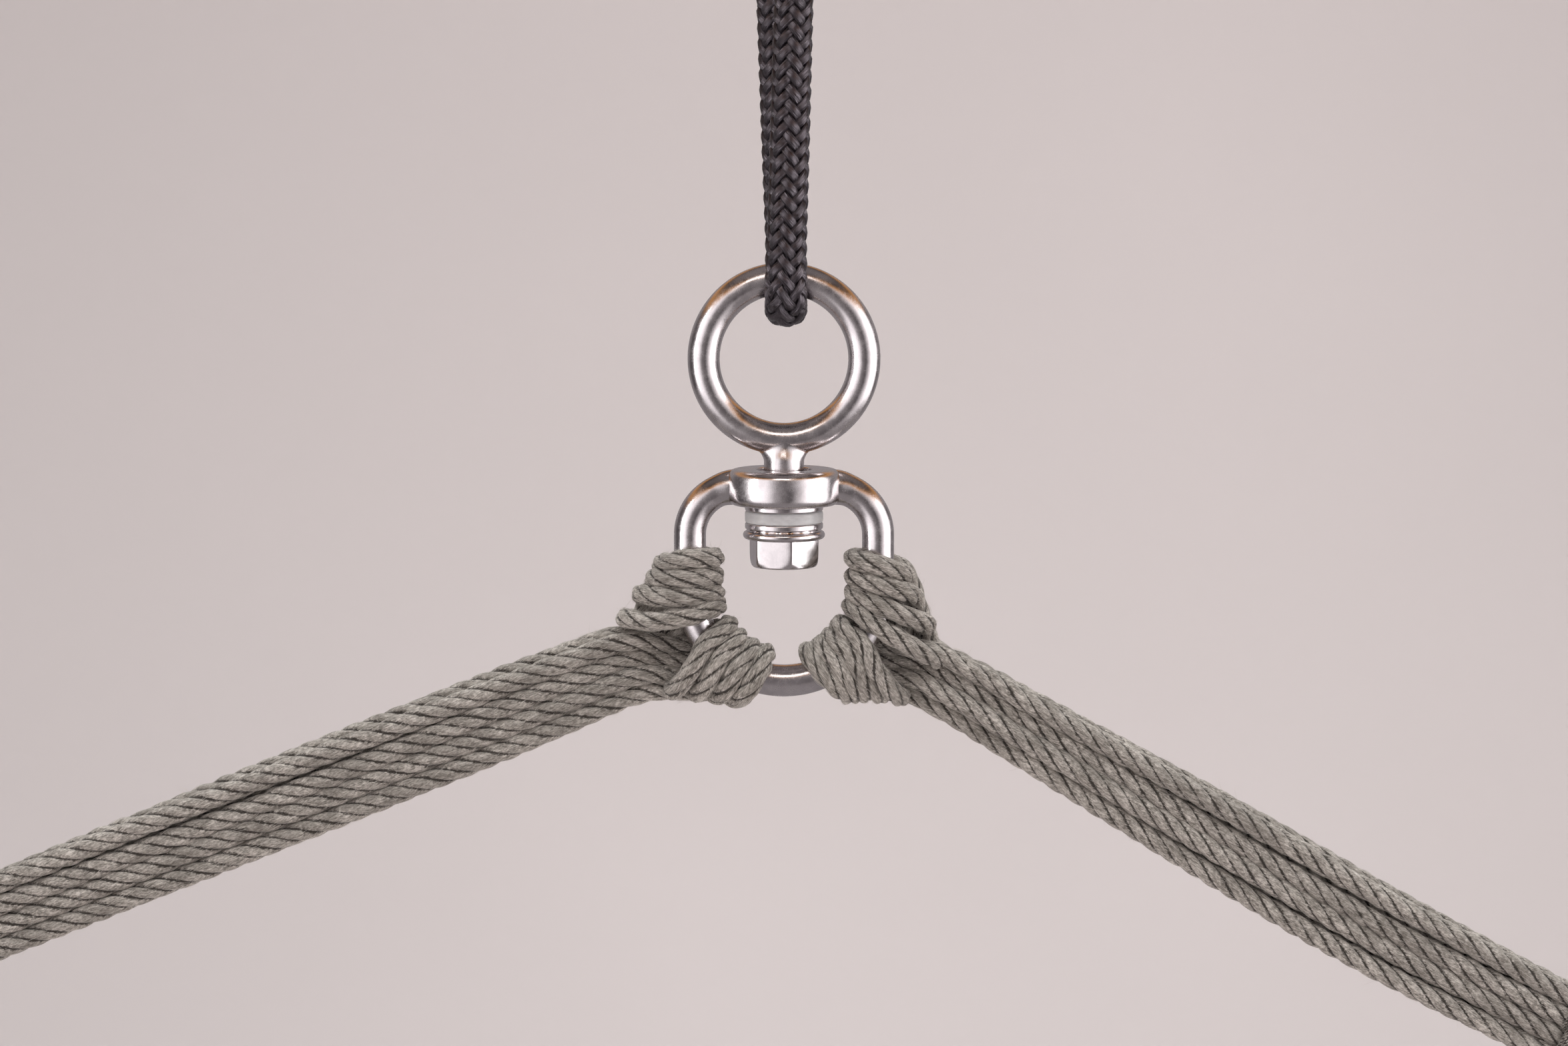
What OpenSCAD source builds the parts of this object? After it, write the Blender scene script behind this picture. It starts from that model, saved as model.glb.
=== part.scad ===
// Swing suspension: a ceiling eye plate, a doubled braided sling, a ball-bearing
// stainless swivel and two rope legs hitched on the swivel's bow.
// Millimetres, +Z up, X across the bow, -Y the front. The origin is the centre of
// the ceiling plate's top face, where the whole part hangs from.

/* [Ceiling eye] */
// Side of the square ceiling plate
plate_w = 60; // [54:1:80]
// Thickness of the ceiling plate
plate_t = 6; // [4:0.5:8]
// Distance between neighbouring screw holes
hole_pitch = 42; // [38:1:44]
// Diameter of a screw hole
hole_d = 7; // [5:0.5:8]
// Diameter of the eye's round wire
eye_wire_d = 10; // [8:0.5:10]
// Turn of the ceiling eye about the vertical, in degrees
eye_turn = 21; // [0:1:30]

/* [Sling] */
// Diameter of the braided sling rope
sling_d = 10; // [9:0.5:10]
// Height of the ceiling eye's wire above the bow's boss
sling_rise = 150; // [145:1:170]

/* [Swivel] */
// Diameter of the round wire of the ring and the bow
wire_d = 8; // [7:0.5:8]
// Outside diameter of the swivel's ring
ring_d = 48; // [46:1:54]
// Height of the ring's centre above the boss's top face
ring_rise = 27.5; // [27.5:0.5:32]
// Diameter of the ring's shank
shank_d = 10; // [9:0.5:10]
// Diameter of the bow's boss
boss_d = 28.5; // [27:0.5:30]
// Height of the bow's boss
boss_h = 9; // [8:0.5:10]
// Outside width of the bow
bow_w = 55; // [53:1:60]
// Depth of the bow's round end below the boss's top face
bow_drop = 29.8; // [29:0.2:34]

/* [Rope legs] */
// Diameter of one laid cord
cord_d = 5.2; // [5:0.1:5.2]
// Slope of the left leg below the horizontal, in degrees
left_slope = 21; // [17:1:26]
// Slope of the right leg below the horizontal, in degrees
right_slope = 29; // [24:1:33]
// Distance from the knot to the left seat ring's bar
left_reach = 214; // [200:1:300]
// Distance from the knot to the right seat ring's bar
right_reach = 216; // [200:1:300]
// Diameter of the seat rings' wire
seat_wire_d = 6; // [5:0.5:6]

/* [Hidden] */
STEEL = "#b8b4b0";
NYLON = "#eeece6";
BLACK = "#2a2930";
GREY = "#84827b";
ROUND = 64;
CLEAR = 0.3;
RUN = 0.05;
CORDS = 4;

// Heights, from the plate down.
eye_r = 19;
eye_z = -plate_t - eye_r;
boss_z = eye_z - sling_rise;
ring_z = boss_z + ring_rise;
wire_r = wire_d / 2;
ring_r = (ring_d - wire_d) / 2;
shank_r = shank_d / 2;

// Thrust bearing and nut, from the boss's underside down.
race_r = 9.75;
upper_race_t = 1.4;
cage_t = 3;
lower_race_t = 1.5;
ball_d = 3;
ball_ring_r = 7.45;
ball_count = 10;
gap = 0.02;
flange_r = 10.25;
flange_t = 2.05;
tooth_t = 0.5;
hex_af = 16;
hex_h = 7.1;
hex_turn = 12.5;
upper_race_z = boss_z - boss_h;
cage_z = upper_race_z - upper_race_t - gap;
lower_race_z = cage_z - cage_t - gap;
nut_z = lower_race_z - lower_race_t;
nut_foot = nut_z - tooth_t - flange_t - hex_h;

// Bow: straight limbs, round corners above and a half circle below.
bow_r = (bow_w - wire_d) / 2;
corner_r = 12;
arc_z = boss_z - bow_drop;
limb_top = boss_z - boss_h / 2 - corner_r;

// Sling: its two straight strands and two bights.
sling_r = 0.47 * sling_d;
bight_r = 0.39 * sling_d;
low_bend = wire_r + bight_r + CLEAR;
top_bend = eye_wire_d / 2 + bight_r + CLEAR;
low_x = 0.5;
splice_low = boss_z + 121;
splice_h = 18;
splice_r = 6.5;

// Legs. A cord of the legs is drawn a little thin, so that neighbours clear.
cord_r = 2.2;
knot_x = 29.3;
knot_z = [boss_z - 48.6, boss_z - 48.4];
hitch_end = 13.5;
leg_start = 18.5;
whip_h = 12;
whip_back = 26;
seat_wire_r = seat_wire_d / 2;
bar_bend = seat_wire_r + cord_d / 2;
seat_half = 14;
seat_deep = 24;
seat_corner = 6;

// Hitch route on the bow's wire, for the first and the last cord of the ribbon.
// Each row is [way, turn, out] twice: way along the wire below the straight limb's
// foot, turn about the wire (0 outside, 90 front, 180 inside, 270 back) and the
// distance out from the wire's centre. The cords between are spaced evenly.
LEFT_HITCH = [
    [[-4.5, 318, 8.5], [9.5, 318, 9.5]],
    [[-6.5, 272, 6.7], [8, 272, 6.7]],
    [[-8, 225, 6.7], [6.4, 225, 6.7]],
    [[-8.5, 180, 6.7], [6, 180, 6.7]],
    [[-8.5, 135, 6.7], [6, 135, 6.7]],
    [[-8, 90, 6.7], [6.8, 90, 6.7]],
    [[-7, 45, 6.7], [7, 32, 12]],
    [[-6, 2, 6.8], [6.6, 0, 17]],
    [[-3.5, 315, 9.5], [7.6, 330, 18.5]],
    [[4, 282, 12.5], [10.5, 322, 18]],
    [[13, 275, 12.6], [12.5, 320, 17.5]],
    [[21, 290, 12], [15.5, 326, 17.5]],
    [[26, 325, 9], [17.2, 345, 16.5]],
    [[27.5, 5, 7], [17.6, 15, 15]],
    [[28.5, 48, 6.8], [16.6, 45, 9.4]],
    [[29.8, 90, 6.7], [14.2, 90, 6.8]],
    [[31.2, 135, 6.7], [14, 135, 6.7]],
    [[32, 180, 6.7], [14.2, 180, 6.7]],
    [[31, 225, 6.7], [14, 225, 6.7]],
    [[28.6, 272, 6.7], [13.4, 272, 6.7]],
    [[25.5, 318, 8.5], [12.6, 318, 8]]
];
RIGHT_HITCH = [
    [[-4, 318, 8.5], [11, 318, 9.5]],
    [[-6, 272, 6.7], [9.4, 272, 6.7]],
    [[-7.8, 225, 6.7], [8, 225, 6.7]],
    [[-8.6, 180, 6.7], [7.4, 180, 6.7]],
    [[-8.2, 135, 6.7], [7.6, 135, 6.7]],
    [[-7, 90, 6.7], [8.6, 90, 6.7]],
    [[-5.6, 45, 6.7], [9, 30, 13]],
    [[-4, 2, 6.8], [9, 0, 19.5]],
    [[-1.5, 315, 9.5], [9.8, 333, 20.5]],
    [[5, 282, 12.5], [12, 325, 19.5]],
    [[12.5, 275, 12.6], [13.5, 322, 19]],
    [[19, 292, 12], [15.8, 328, 19]],
    [[22.6, 328, 11], [17.4, 345, 18.4]],
    [[24, 5, 9.4], [17.8, 15, 17]],
    [[25, 45, 7.6], [17, 42, 10.8]],
    [[26.8, 90, 6.7], [14.2, 90, 6.9]],
    [[28.6, 135, 6.7], [14.4, 135, 6.7]],
    [[29.6, 180, 6.7], [15.4, 180, 6.7]],
    [[28.6, 225, 6.7], [15, 225, 6.7]],
    [[26.4, 272, 6.7], [14, 272, 6.7]],
    [[23.8, 318, 8.5], [13, 318, 8]]
];

// Leg rows: [distance from the knot, middle depth, half gap between the two layers,
// pitch of the cords, sideways shift of the front layer, stagger in depth].
LEFT_ROWS = [
    [6, 4.6, 2.6, 4.6, -1, 0.8],
    [hitch_end, 3.4, 2.6, 5.3, -1.3, 0.2],
    [leg_start, 2.9, 2.6, 5.4, -1.3, 0],
    [40, 1, 2.6, 5.3, -1.1, 0],
    [90, 0, 2.6, 5.2, -0.8, 0],
    [140, 0, 2.6, 5.2, -0.4, 0],
    [left_reach - whip_back, 0, 2.65, 5.2, 0, 0],
    [left_reach - whip_back + whip_h, 0, 2.7, 5.2, 0, 0],
    [left_reach - 7, 0, 4.4, 5.2, 0, 0]
];
RIGHT_ROWS = [
    [6, 4.6, 2.6, 4.2, -0.2, 1.2],
    [hitch_end, 3.4, 2.6, 4.4, -0.2, 1.2],
    [leg_start, 2.9, 2.6, 4.4, -0.2, 1.2],
    [40, 1, 2.6, 4.6, -0.3, 1],
    [90, 0, 2.6, 4.9, -0.6, 0.5],
    [140, 0, 2.6, 5.2, -0.6, 0],
    [right_reach - whip_back, 0, 2.65, 5.2, 0, 0],
    [right_reach - whip_back + whip_h, 0, 2.7, 5.2, 0, 0],
    [right_reach - 7, 0, 4.4, 5.2, 0, 0]
];

// Sweeping a tube along points.
function unit(v) = v / norm(v);
function mix(a, b, f) = a + (b - a) * f;
function way(p, i) =
    unit(p[min(i + 1, len(p) - 1)] - p[max(i - 1, 0)]);
function flat_to(v, t) = unit(v - (v * t) * t);
function any_normal(t) =
    unit(cross(t, abs(t[2]) < 0.8 ? [0, 0, 1] : [1, 0, 0]));
function normals(p) = [
    for (i = 0, n = any_normal(way(p, 0)); i < len(p);
         i = i + 1, n = i < len(p) ? flat_to(n, way(p, i)) : n) n
];
function tube_points(p, r, n, sides) = [
    for (i = [0 : len(p) - 1], k = [0 : sides - 1])
        let (a = 360 * k / sides, t = way(p, i))
            p[i] + r[i] * (cos(a) * n[i] + sin(a) * cross(t, n[i]))
];
function tube_faces(rows, sides) = concat(
    [[for (k = [0 : sides - 1]) k]],
    [for (i = [0 : rows - 2], k = [0 : sides - 1], half = [0, 1])
        let (a = i * sides + k, b = i * sides + (k + 1) % sides)
            half == 0 ? [a, a + sides, b + sides] : [a, b + sides, b]],
    [[for (k = [sides - 1 : -1 : 0]) (rows - 1) * sides + k]]
);
module tube(p, r, sides) {
    radii = is_list(r) ? r : [for (q = p) r];
    polyhedron(tube_points(p, radii, normals(p), sides), tube_faces(len(p), sides));
}

// A place on the bow's wire: way along it, turn about it, distance out from it.
function wire_place(side, q) =
    let (a = max(q[0], 0) / bow_r * 180 / PI,
         out = [side * cos(a), 0, -sin(a)],
         foot = [0, 0, arc_z - min(q[0], 0)] + bow_r * out)
        foot + q[2] * (cos(q[1]) * out + [0, -sin(q[1]), 0]);

// A place on a leg: distance from the knot, offset across the leg, depth.
function knot(side) = [side * knot_x, 0, knot_z[side < 0 ? 0 : 1]];
function slope(side) = side < 0 ? left_slope : right_slope;
function leg_way(side) = [side * cos(slope(side)), 0, -sin(slope(side))];
function leg_up(side) = [side * sin(slope(side)), 0, cos(slope(side))];
function leg_place(side, s, w, y) =
    knot(side) + s * leg_way(side) + w * leg_up(side) + [0, y, 0];
function rows(side) = side < 0 ? LEFT_ROWS : RIGHT_ROWS;
function reach(side) = side < 0 ? left_reach : right_reach;

// One strand of a leg at a row: slot 0 is lowest, layer -1 the front, 1 the back.
function strand(side, row, slot, layer) =
    leg_place(side, row[0],
        (slot - (CORDS - 1) / 2) * row[3] - layer * row[4],
        row[1] + layer * row[2] + row[5] * (slot % 2 == 0 ? 1 : -1));

// One cord of a hitch, from the back layer round the wire twice to the front layer.
function hitch_path(side, k) =
    let (table = side < 0 ? LEFT_HITCH : RIGHT_HITCH, r = rows(side))
        concat(
            [strand(side, r[1], CORDS - 1 - k, 1), strand(side, r[0], CORDS - 1 - k, 1)],
            [for (q = table) wire_place(side, mix(q[0], q[1], k / (CORDS - 1)))],
            [strand(side, r[0], k, -1), strand(side, r[1], k, -1)]
        );

// One cord of a leg: out along the front layer, round the ring's bar and back.
function leg_path(side, slot) =
    let (r = rows(side), last = len(r) - 1)
        concat(
            [for (i = [2 : last]) strand(side, r[i], slot, -1)],
            [for (a = [-90 : 45 : 90])
                leg_place(side, reach(side) + bar_bend * cos(a),
                    (slot - (CORDS - 1) / 2) * cord_d, bar_bend * sin(a))],
            [for (i = [last : -1 : 2]) strand(side, r[i], slot, 1)]
        );

// The sling: down the rear strand, round the swivel's ring, up the front strand,
// over the ceiling eye and down to where it began, inside the splice.
function top_place(a) =
    [0, 0, eye_z] + top_bend * [cos(a) * sin(eye_turn), -cos(a) * cos(eye_turn), sin(a)];
function low_place(a) =
    [low_x, 0, ring_z + ring_r] + low_bend * [0, -cos(a), sin(a)];
function rear_at(z) =
    mix(low_place(180), top_place(180), (z - low_place(180)[2]) / (eye_z - low_place(180)[2]));
splice_mid = splice_low + splice_h / 2;
SLING = concat(
    [rear_at(splice_mid - 0.2), rear_at(splice_low - 15), rear_at(splice_low - 40)],
    [for (a = [180 : 30 : 360]) low_place(a)],
    [for (f = [0.25, 0.5, 0.75]) mix(low_place(0), top_place(0), f)],
    [for (a = [0 : 30 : 180]) top_place(a)],
    [rear_at(splice_mid + 0.2)]
);
SLING_R = [for (p = SLING)
    (p[2] < ring_z + ring_r + 1 || p[2] > eye_z - 1) ? bight_r : sling_r];

module bend_tube(r, tube_r, from, sweep)
    rotate([90, 0, 0])
        rotate([0, 0, from])
            rotate_extrude(angle = sweep, $fn = ROUND) translate([r, 0]) circle(tube_r);

module disc(r, h, bore, z)
    translate([0, 0, z - h])
        difference() {
            cylinder(r = r, h = h, $fn = ROUND);
            translate([0, 0, -1]) cylinder(r = bore, h = h + 2, $fn = ROUND);
        }

module round_outline(half_w, half_y, r)
    union() {
        square([2 * (half_w - r), 2 * half_y], center = true);
        square([2 * half_w, 2 * (half_y - r)], center = true);
        for (x = [-1, 1], y = [-1, 1])
            translate([x * (half_w - r), y * (half_y - r)]) circle(r, $fn = ROUND);
    }

module ceiling_eye_plate() color(STEEL)
    difference() {
        union() {
            translate([0, 0, -plate_t])
                linear_extrude(plate_t) round_outline(plate_w / 2, plate_w / 2, 8);
            rotate([0, 0, eye_turn])
                translate([0, 0, -plate_t]) {
                    bend_tube(eye_r, eye_wire_d / 2, 180, 180);
                    for (x = [-eye_r, eye_r])
                        translate([x, 0, -2])
                            cylinder(r1 = eye_wire_d / 2 + 0.8, r2 = eye_wire_d / 2 + 3,
                                h = 3, $fn = ROUND);
                }
        }
        for (x = [-1, 1], y = [-1, 1])
            translate([x * hole_pitch / 2, y * hole_pitch / 2, -plate_t - 1])
                cylinder(d = hole_d, h = plate_t + 2, $fn = ROUND);
    }

module sling_rope() color(BLACK) tube(SLING, SLING_R, 10);

module sling_splice() color(BLACK) {
    run = top_place(180) - low_place(180);
    translate(rear_at(splice_low))
        rotate([0, 0, atan2(run[1], run[0])])
            rotate([0, acos(run[2] / norm(run)), 0])
                difference() {
                    rotate_extrude($fn = ROUND)
                        polygon([[0, 0], [splice_r - 1, 0], [splice_r, 1],
                                 [splice_r, splice_h - 1], [splice_r - 1, splice_h],
                                 [0, splice_h]]);
                    translate([0, 0, -1])
                        cylinder(r = sling_d / 2, h = splice_h + 2, $fn = ROUND);
                }
}

module swivel_eye() color(STEEL) {
    translate([0, 0, ring_z]) bend_tube(ring_r, wire_r, 0, 360);
    translate([0, 0, nut_foot])
        cylinder(r = shank_r, h = ring_z - ring_r - wire_r + 1.5 - nut_foot, $fn = ROUND);
    intersection() {
        translate([0, 0, ring_z - ring_r - wire_r - 1.5])
            cylinder(r1 = shank_r - 0.2, r2 = shank_r + 4, h = 5, $fn = ROUND);
        translate([-ring_r, -wire_r + 0.2, ring_z - ring_r - 8])
            cube([2 * ring_r, wire_d - 0.4, 12]);
    }
}

module upper_race() color(STEEL)
    disc(race_r, upper_race_t, shank_r + 2 * RUN, upper_race_z);

module lower_race() color(STEEL)
    disc(race_r, lower_race_t, shank_r, lower_race_z);

module ball_cage() color(NYLON)
    difference() {
        disc(race_r, cage_t, shank_r + CLEAR, cage_z);
        for (k = [1 : ball_count])
            rotate([0, 0, 360 * k / ball_count])
                translate([ball_ring_r, 0, cage_z - cage_t - 1])
                    cylinder(d = ball_d + 0.16, h = cage_t + 2, $fn = 32);
    }

module bearing_balls() color(STEEL)
    for (k = [1 : ball_count])
        rotate([0, 0, 360 * k / ball_count])
            translate([ball_ring_r, 0, cage_z - cage_t / 2]) sphere(d = ball_d, $fn = 32);

module flange_nut() color(STEEL)
    difference() {
        union() {
            disc(flange_r - 0.9, tooth_t, shank_r, nut_z);
            translate([0, 0, nut_z - tooth_t - flange_t])
                rotate_extrude($fn = ROUND)
                    union() {
                        translate([0, 0]) square([flange_r - flange_t / 2, flange_t]);
                        translate([flange_r - flange_t / 2, flange_t / 2]) circle(flange_t / 2);
                    }
            intersection() {
                translate([0, 0, nut_foot]) rotate([0, 0, hex_turn - 90])
                    cylinder(d = hex_af / cos(30), h = hex_h, $fn = 6);
                translate([0, 0, nut_foot])
                    rotate_extrude($fn = ROUND)
                        polygon([[0, 0], [7.4, 0], [8.4, 0.5], [9.1, 1.4], [9.5, 2.8],
                                 [9.5, hex_h], [0, hex_h]]);
            }
        }
        translate([0, 0, nut_foot - 1])
            cylinder(r = shank_r, h = nut_z - nut_foot + 2, $fn = ROUND);
        for (k = [1 : 20])
            rotate([0, 0, 18 * k])
                translate([6, -0.4, nut_z - tooth_t]) cube([6, 0.8, 1]);
    }

module swivel_bow() color(STEEL) {
    rim = 1.6;
    boss_r = boss_d / 2;
    difference() {
        union() {
            translate([0, 0, boss_z - boss_h])
                rotate_extrude($fn = ROUND)
                    polygon(concat(
                        [[0, 0]],
                        [for (a = [-90 : 22.5 : 0])
                            [boss_r - rim + rim * cos(a), rim + rim * sin(a)]],
                        [for (a = [0 : 22.5 : 90])
                            [boss_r - rim + rim * cos(a), boss_h - rim + rim * sin(a)]],
                        [[0, boss_h]]));
            for (side = [-1, 1]) {
                translate([side * (bow_r - corner_r), 0, limb_top])
                    bend_tube(corner_r, wire_r, side > 0 ? 0 : 90, 90);
                translate([side * bow_r, 0, arc_z])
                    cylinder(r = wire_r, h = limb_top - arc_z, $fn = ROUND);
            }
            translate([0, 0, arc_z]) bend_tube(bow_r, wire_r, 180, 180);
        }
        translate([0, 0, boss_z - boss_h - 1])
            cylinder(r = shank_r + RUN, h = boss_h + 2, $fn = ROUND);
        translate([0, 0, boss_z - 3])
            cylinder(r1 = shank_r + RUN, r2 = 6.9, h = 1.8, $fn = ROUND);
        translate([0, 0, boss_z - 1.2])
            cylinder(r = 6.9, h = 3, $fn = ROUND);
    }
}

module hitch_cord(side, k) color(GREY) tube(hitch_path(side, k - 1), cord_r, 8);

module leg_cord(side, k) color(GREY) tube(leg_path(side, k - 1), cord_r, 8);

// Puts a shape drawn along +X, with +Z across the leg, onto a leg.
module on_leg(side)
    mirror([side < 0 ? 1 : 0, 0, 0])
        translate([knot_x, 0, knot(side)[2]])
            rotate([0, slope(side), 0]) children();

module whipping(side) color(GREY)
    on_leg(side)
        translate([reach(side) - whip_back, 0, 0])
            rotate([0, 90, 0])
                linear_extrude(whip_h)
                    difference() {
                        round_outline(12.2, 7, 3.5);
                        round_outline(10.6, 5.4, 2);
                    }

module seat_ring(side) color(STEEL)
    on_leg(side)
        translate([reach(side), 0, 0]) {
            flat = seat_half - seat_corner;
            for (x = [0, seat_deep])
                translate([x, 0, -flat])
                    cylinder(r = seat_wire_r, h = 2 * flat, $fn = ROUND);
            for (z = [-seat_half, seat_half])
                translate([seat_corner, 0, z])
                    rotate([0, 90, 0])
                        cylinder(r = seat_wire_r, h = seat_deep - 2 * seat_corner, $fn = ROUND);
            for (x = [0, 1], z = [0, 1])
                translate([x == 1 ? seat_deep - seat_corner : seat_corner, 0,
                           z == 1 ? flat : -flat])
                    bend_tube(seat_corner, seat_wire_r,
                        x == 1 ? (z == 1 ? 0 : 270) : (z == 1 ? 90 : 180), 90);
        }

ceiling_eye_plate();
sling_rope();
sling_splice();
swivel_eye();
lower_race();
flange_nut();
ball_cage();
bearing_balls();
upper_race();
swivel_bow();
for (k = [1 : CORDS]) {
    hitch_cord(-1, k);
    hitch_cord(1, k);
    leg_cord(-1, k);
    leg_cord(1, k);
}
whipping(-1);  // left_whipping
whipping(1);  // right_whipping
seat_ring(-1);  // left_seat_ring
seat_ring(1);  // right_seat_ring
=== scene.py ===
"""Looks of a swing's ceiling hanger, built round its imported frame.

A ceiling eye plate carries a doubled braided sling. The sling holds a stainless
ball-bearing swivel, and two legs of four laid cords each are hitched on its bow.
Metres, +Z up, X across the bow, -Y the front, origin at the plate's top face.
"""

import math

import bpy
import numpy as np
from bpy.props import FloatProperty, FloatVectorProperty, IntProperty, PointerProperty
from bpy.types import Operator, Panel, PropertyGroup
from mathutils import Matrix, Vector


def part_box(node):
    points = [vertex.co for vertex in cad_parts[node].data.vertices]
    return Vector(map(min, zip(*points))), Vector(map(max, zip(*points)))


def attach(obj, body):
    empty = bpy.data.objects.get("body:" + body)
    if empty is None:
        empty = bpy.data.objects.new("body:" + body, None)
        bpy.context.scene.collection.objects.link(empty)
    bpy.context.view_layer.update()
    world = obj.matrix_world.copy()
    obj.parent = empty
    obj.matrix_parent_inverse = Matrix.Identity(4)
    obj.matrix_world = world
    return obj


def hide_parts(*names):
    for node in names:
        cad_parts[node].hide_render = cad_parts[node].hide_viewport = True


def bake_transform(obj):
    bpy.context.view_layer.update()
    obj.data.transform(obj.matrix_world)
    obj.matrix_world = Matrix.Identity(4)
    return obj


bl_info = {
    "name": "Swing Hanger",
    "version": (1, 0, 0),
    "blender": (4, 5, 0),
    "location": "3D View > Sidebar > Swing Hanger",
    "description": "Builds the sling, swivel and rope legs of a swing's ceiling hanger",
    "category": "Add Mesh",
}

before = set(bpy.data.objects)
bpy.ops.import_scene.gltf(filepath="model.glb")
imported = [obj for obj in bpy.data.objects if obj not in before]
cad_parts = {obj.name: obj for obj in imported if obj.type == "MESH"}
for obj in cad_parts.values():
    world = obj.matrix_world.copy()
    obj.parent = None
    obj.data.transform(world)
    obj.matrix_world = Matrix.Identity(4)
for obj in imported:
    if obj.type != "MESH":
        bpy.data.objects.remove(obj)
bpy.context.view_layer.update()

# ---------------------------------------------------------------- places from the frame

BOW_LOW, BOW_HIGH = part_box("swivel_bow")
EYE_LOW, EYE_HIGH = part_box("swivel_eye")
PLATE_LOW, PLATE_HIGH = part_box("ceiling_eye_plate")
RACE_LOW, RACE_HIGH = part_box("upper_race")
CAGE_LOW, CAGE_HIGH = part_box("ball_cage")
LOWER_LOW, LOWER_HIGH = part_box("lower_race")
NUT_LOW, NUT_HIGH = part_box("flange_nut")

WIRE_R = 0.004
BOSS_Z = BOW_HIGH.z
BOSS_R = BOW_HIGH.y
BOSS_H = BOSS_Z - RACE_HIGH.z
BOW_R = BOW_HIGH.x - WIRE_R
BOW_CORNER_R = 0.012
ARC_Z = BOW_LOW.z + BOW_HIGH.x
RING_OUT = EYE_HIGH.x
RING_R = RING_OUT - WIRE_R
RING_Z = EYE_HIGH.z - RING_OUT
SHANK_R = 0.005
BORE_R = 0.00505
SINK_R = 0.0069

EYE_WIRE_R = 0.005
EYE_TURN = math.radians(21)
PLATE_T = 0.006
EYE_R = PLATE_HIGH.z - PLATE_LOW.z - PLATE_T - EYE_WIRE_R
EYE_Z = PLATE_LOW.z + EYE_WIRE_R
HOLE_PITCH = 0.042
HOLE_R = 0.0035

NUT_TURN = 12.5 - 90
HEX_HALF = 0.008
HEX_H = 0.0071
FLANGE_T = 0.00205
NUT_TEETH = 20
CAGE_GAP = 0.0003
BALL_RING_R = 0.00745
BALL_R = 0.0015
BALLS = 10

# ---------------------------------------------------------------- routes of the ropes

CORDS = 4
STRANDS = 4
BAR_PITCH = 0.0052
LINE_STEP = 0.00062
# Hitch rows, for a cord at one side and one at the other: way along the wire, turn
# about it in degrees, distance out from its centre.
HITCH = {
    "left": [
        [[-0.0045, 318, 0.0085], [0.0095, 318, 0.0095]],
        [[-0.0065, 272, 0.0067], [0.008, 272, 0.0067]],
        [[-0.0072, 225, 0.0063], [0.0064, 225, 0.0064]],
        [[-0.0074, 180, 0.0061], [0.006, 180, 0.0063]],
        [[-0.0077, 135, 0.0063], [0.006, 135, 0.0064]],
        [[-0.008, 90, 0.0067], [0.0062, 90, 0.0067]],
        [[-0.007, 45, 0.0067], [0.0056, 32, 0.0115]],
        [[-0.006, 2, 0.0068], [0.0046, 0, 0.0166]],
        [[-0.0035, 315, 0.0095], [0.0060, 330, 0.0185]],
        [[0.004, 282, 0.0125], [0.0097, 322, 0.018]],
        [[0.013, 275, 0.0126], [0.0125, 320, 0.0175]],
        [[0.021, 290, 0.012], [0.0155, 326, 0.0175]],
        [[0.026, 325, 0.009], [0.0172, 345, 0.0155]],
        [[0.0275, 5, 0.0067], [0.0176, 15, 0.0138]],
        [[0.0285, 48, 0.0066], [0.0166, 45, 0.0092]],
        [[0.0295, 90, 0.0065], [0.0142, 90, 0.0067]],
        [[0.0301, 135, 0.0064], [0.014, 135, 0.0067]],
        [[0.0304, 180, 0.0063], [0.0142, 180, 0.0067]],
        [[0.0298, 225, 0.0064], [0.014, 225, 0.0067]],
        [[0.028, 272, 0.0066], [0.0134, 272, 0.0067]],
        [[0.0255, 318, 0.0085], [0.0126, 318, 0.008]],
    ],
    "right": [
        [[-0.004, 318, 0.0085], [0.011, 318, 0.0095]],
        [[-0.006, 272, 0.0067], [0.0094, 272, 0.0067]],
        [[-0.0068, 225, 0.0062], [0.0074, 225, 0.0062]],
        [[-0.0074, 180, 0.0060], [0.0064, 180, 0.0060]],
        [[-0.0071, 135, 0.0062], [0.0068, 135, 0.0062]],
        [[-0.0064, 90, 0.0067], [0.0084, 90, 0.0067]],
        [[-0.0046, 45, 0.0067], [0.0098, 30, 0.0125]],
        [[-0.003, 2, 0.0068], [0.0104, 0, 0.0188]],
        [[-0.0005, 315, 0.0095], [0.0110, 333, 0.0202]],
        [[0.005, 282, 0.0125], [0.0125, 325, 0.0195]],
        [[0.0125, 275, 0.0126], [0.0135, 322, 0.019]],
        [[0.019, 292, 0.012], [0.0158, 328, 0.019]],
        [[0.0226, 328, 0.0100], [0.0174, 345, 0.0174]],
        [[0.024, 5, 0.0082], [0.0178, 15, 0.0158]],
        [[0.025, 45, 0.0072], [0.017, 42, 0.0102]],
        [[0.0264, 90, 0.0065], [0.0142, 90, 0.0069]],
        [[0.0278, 135, 0.0064], [0.0140, 135, 0.0067]],
        [[0.0284, 180, 0.0063], [0.0140, 180, 0.0067]],
        [[0.0276, 225, 0.0064], [0.0138, 225, 0.0067]],
        [[0.0258, 272, 0.0066], [0.0134, 272, 0.0067]],
        [[0.0238, 318, 0.0085], [0.013, 318, 0.008]],
    ],
}
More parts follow.
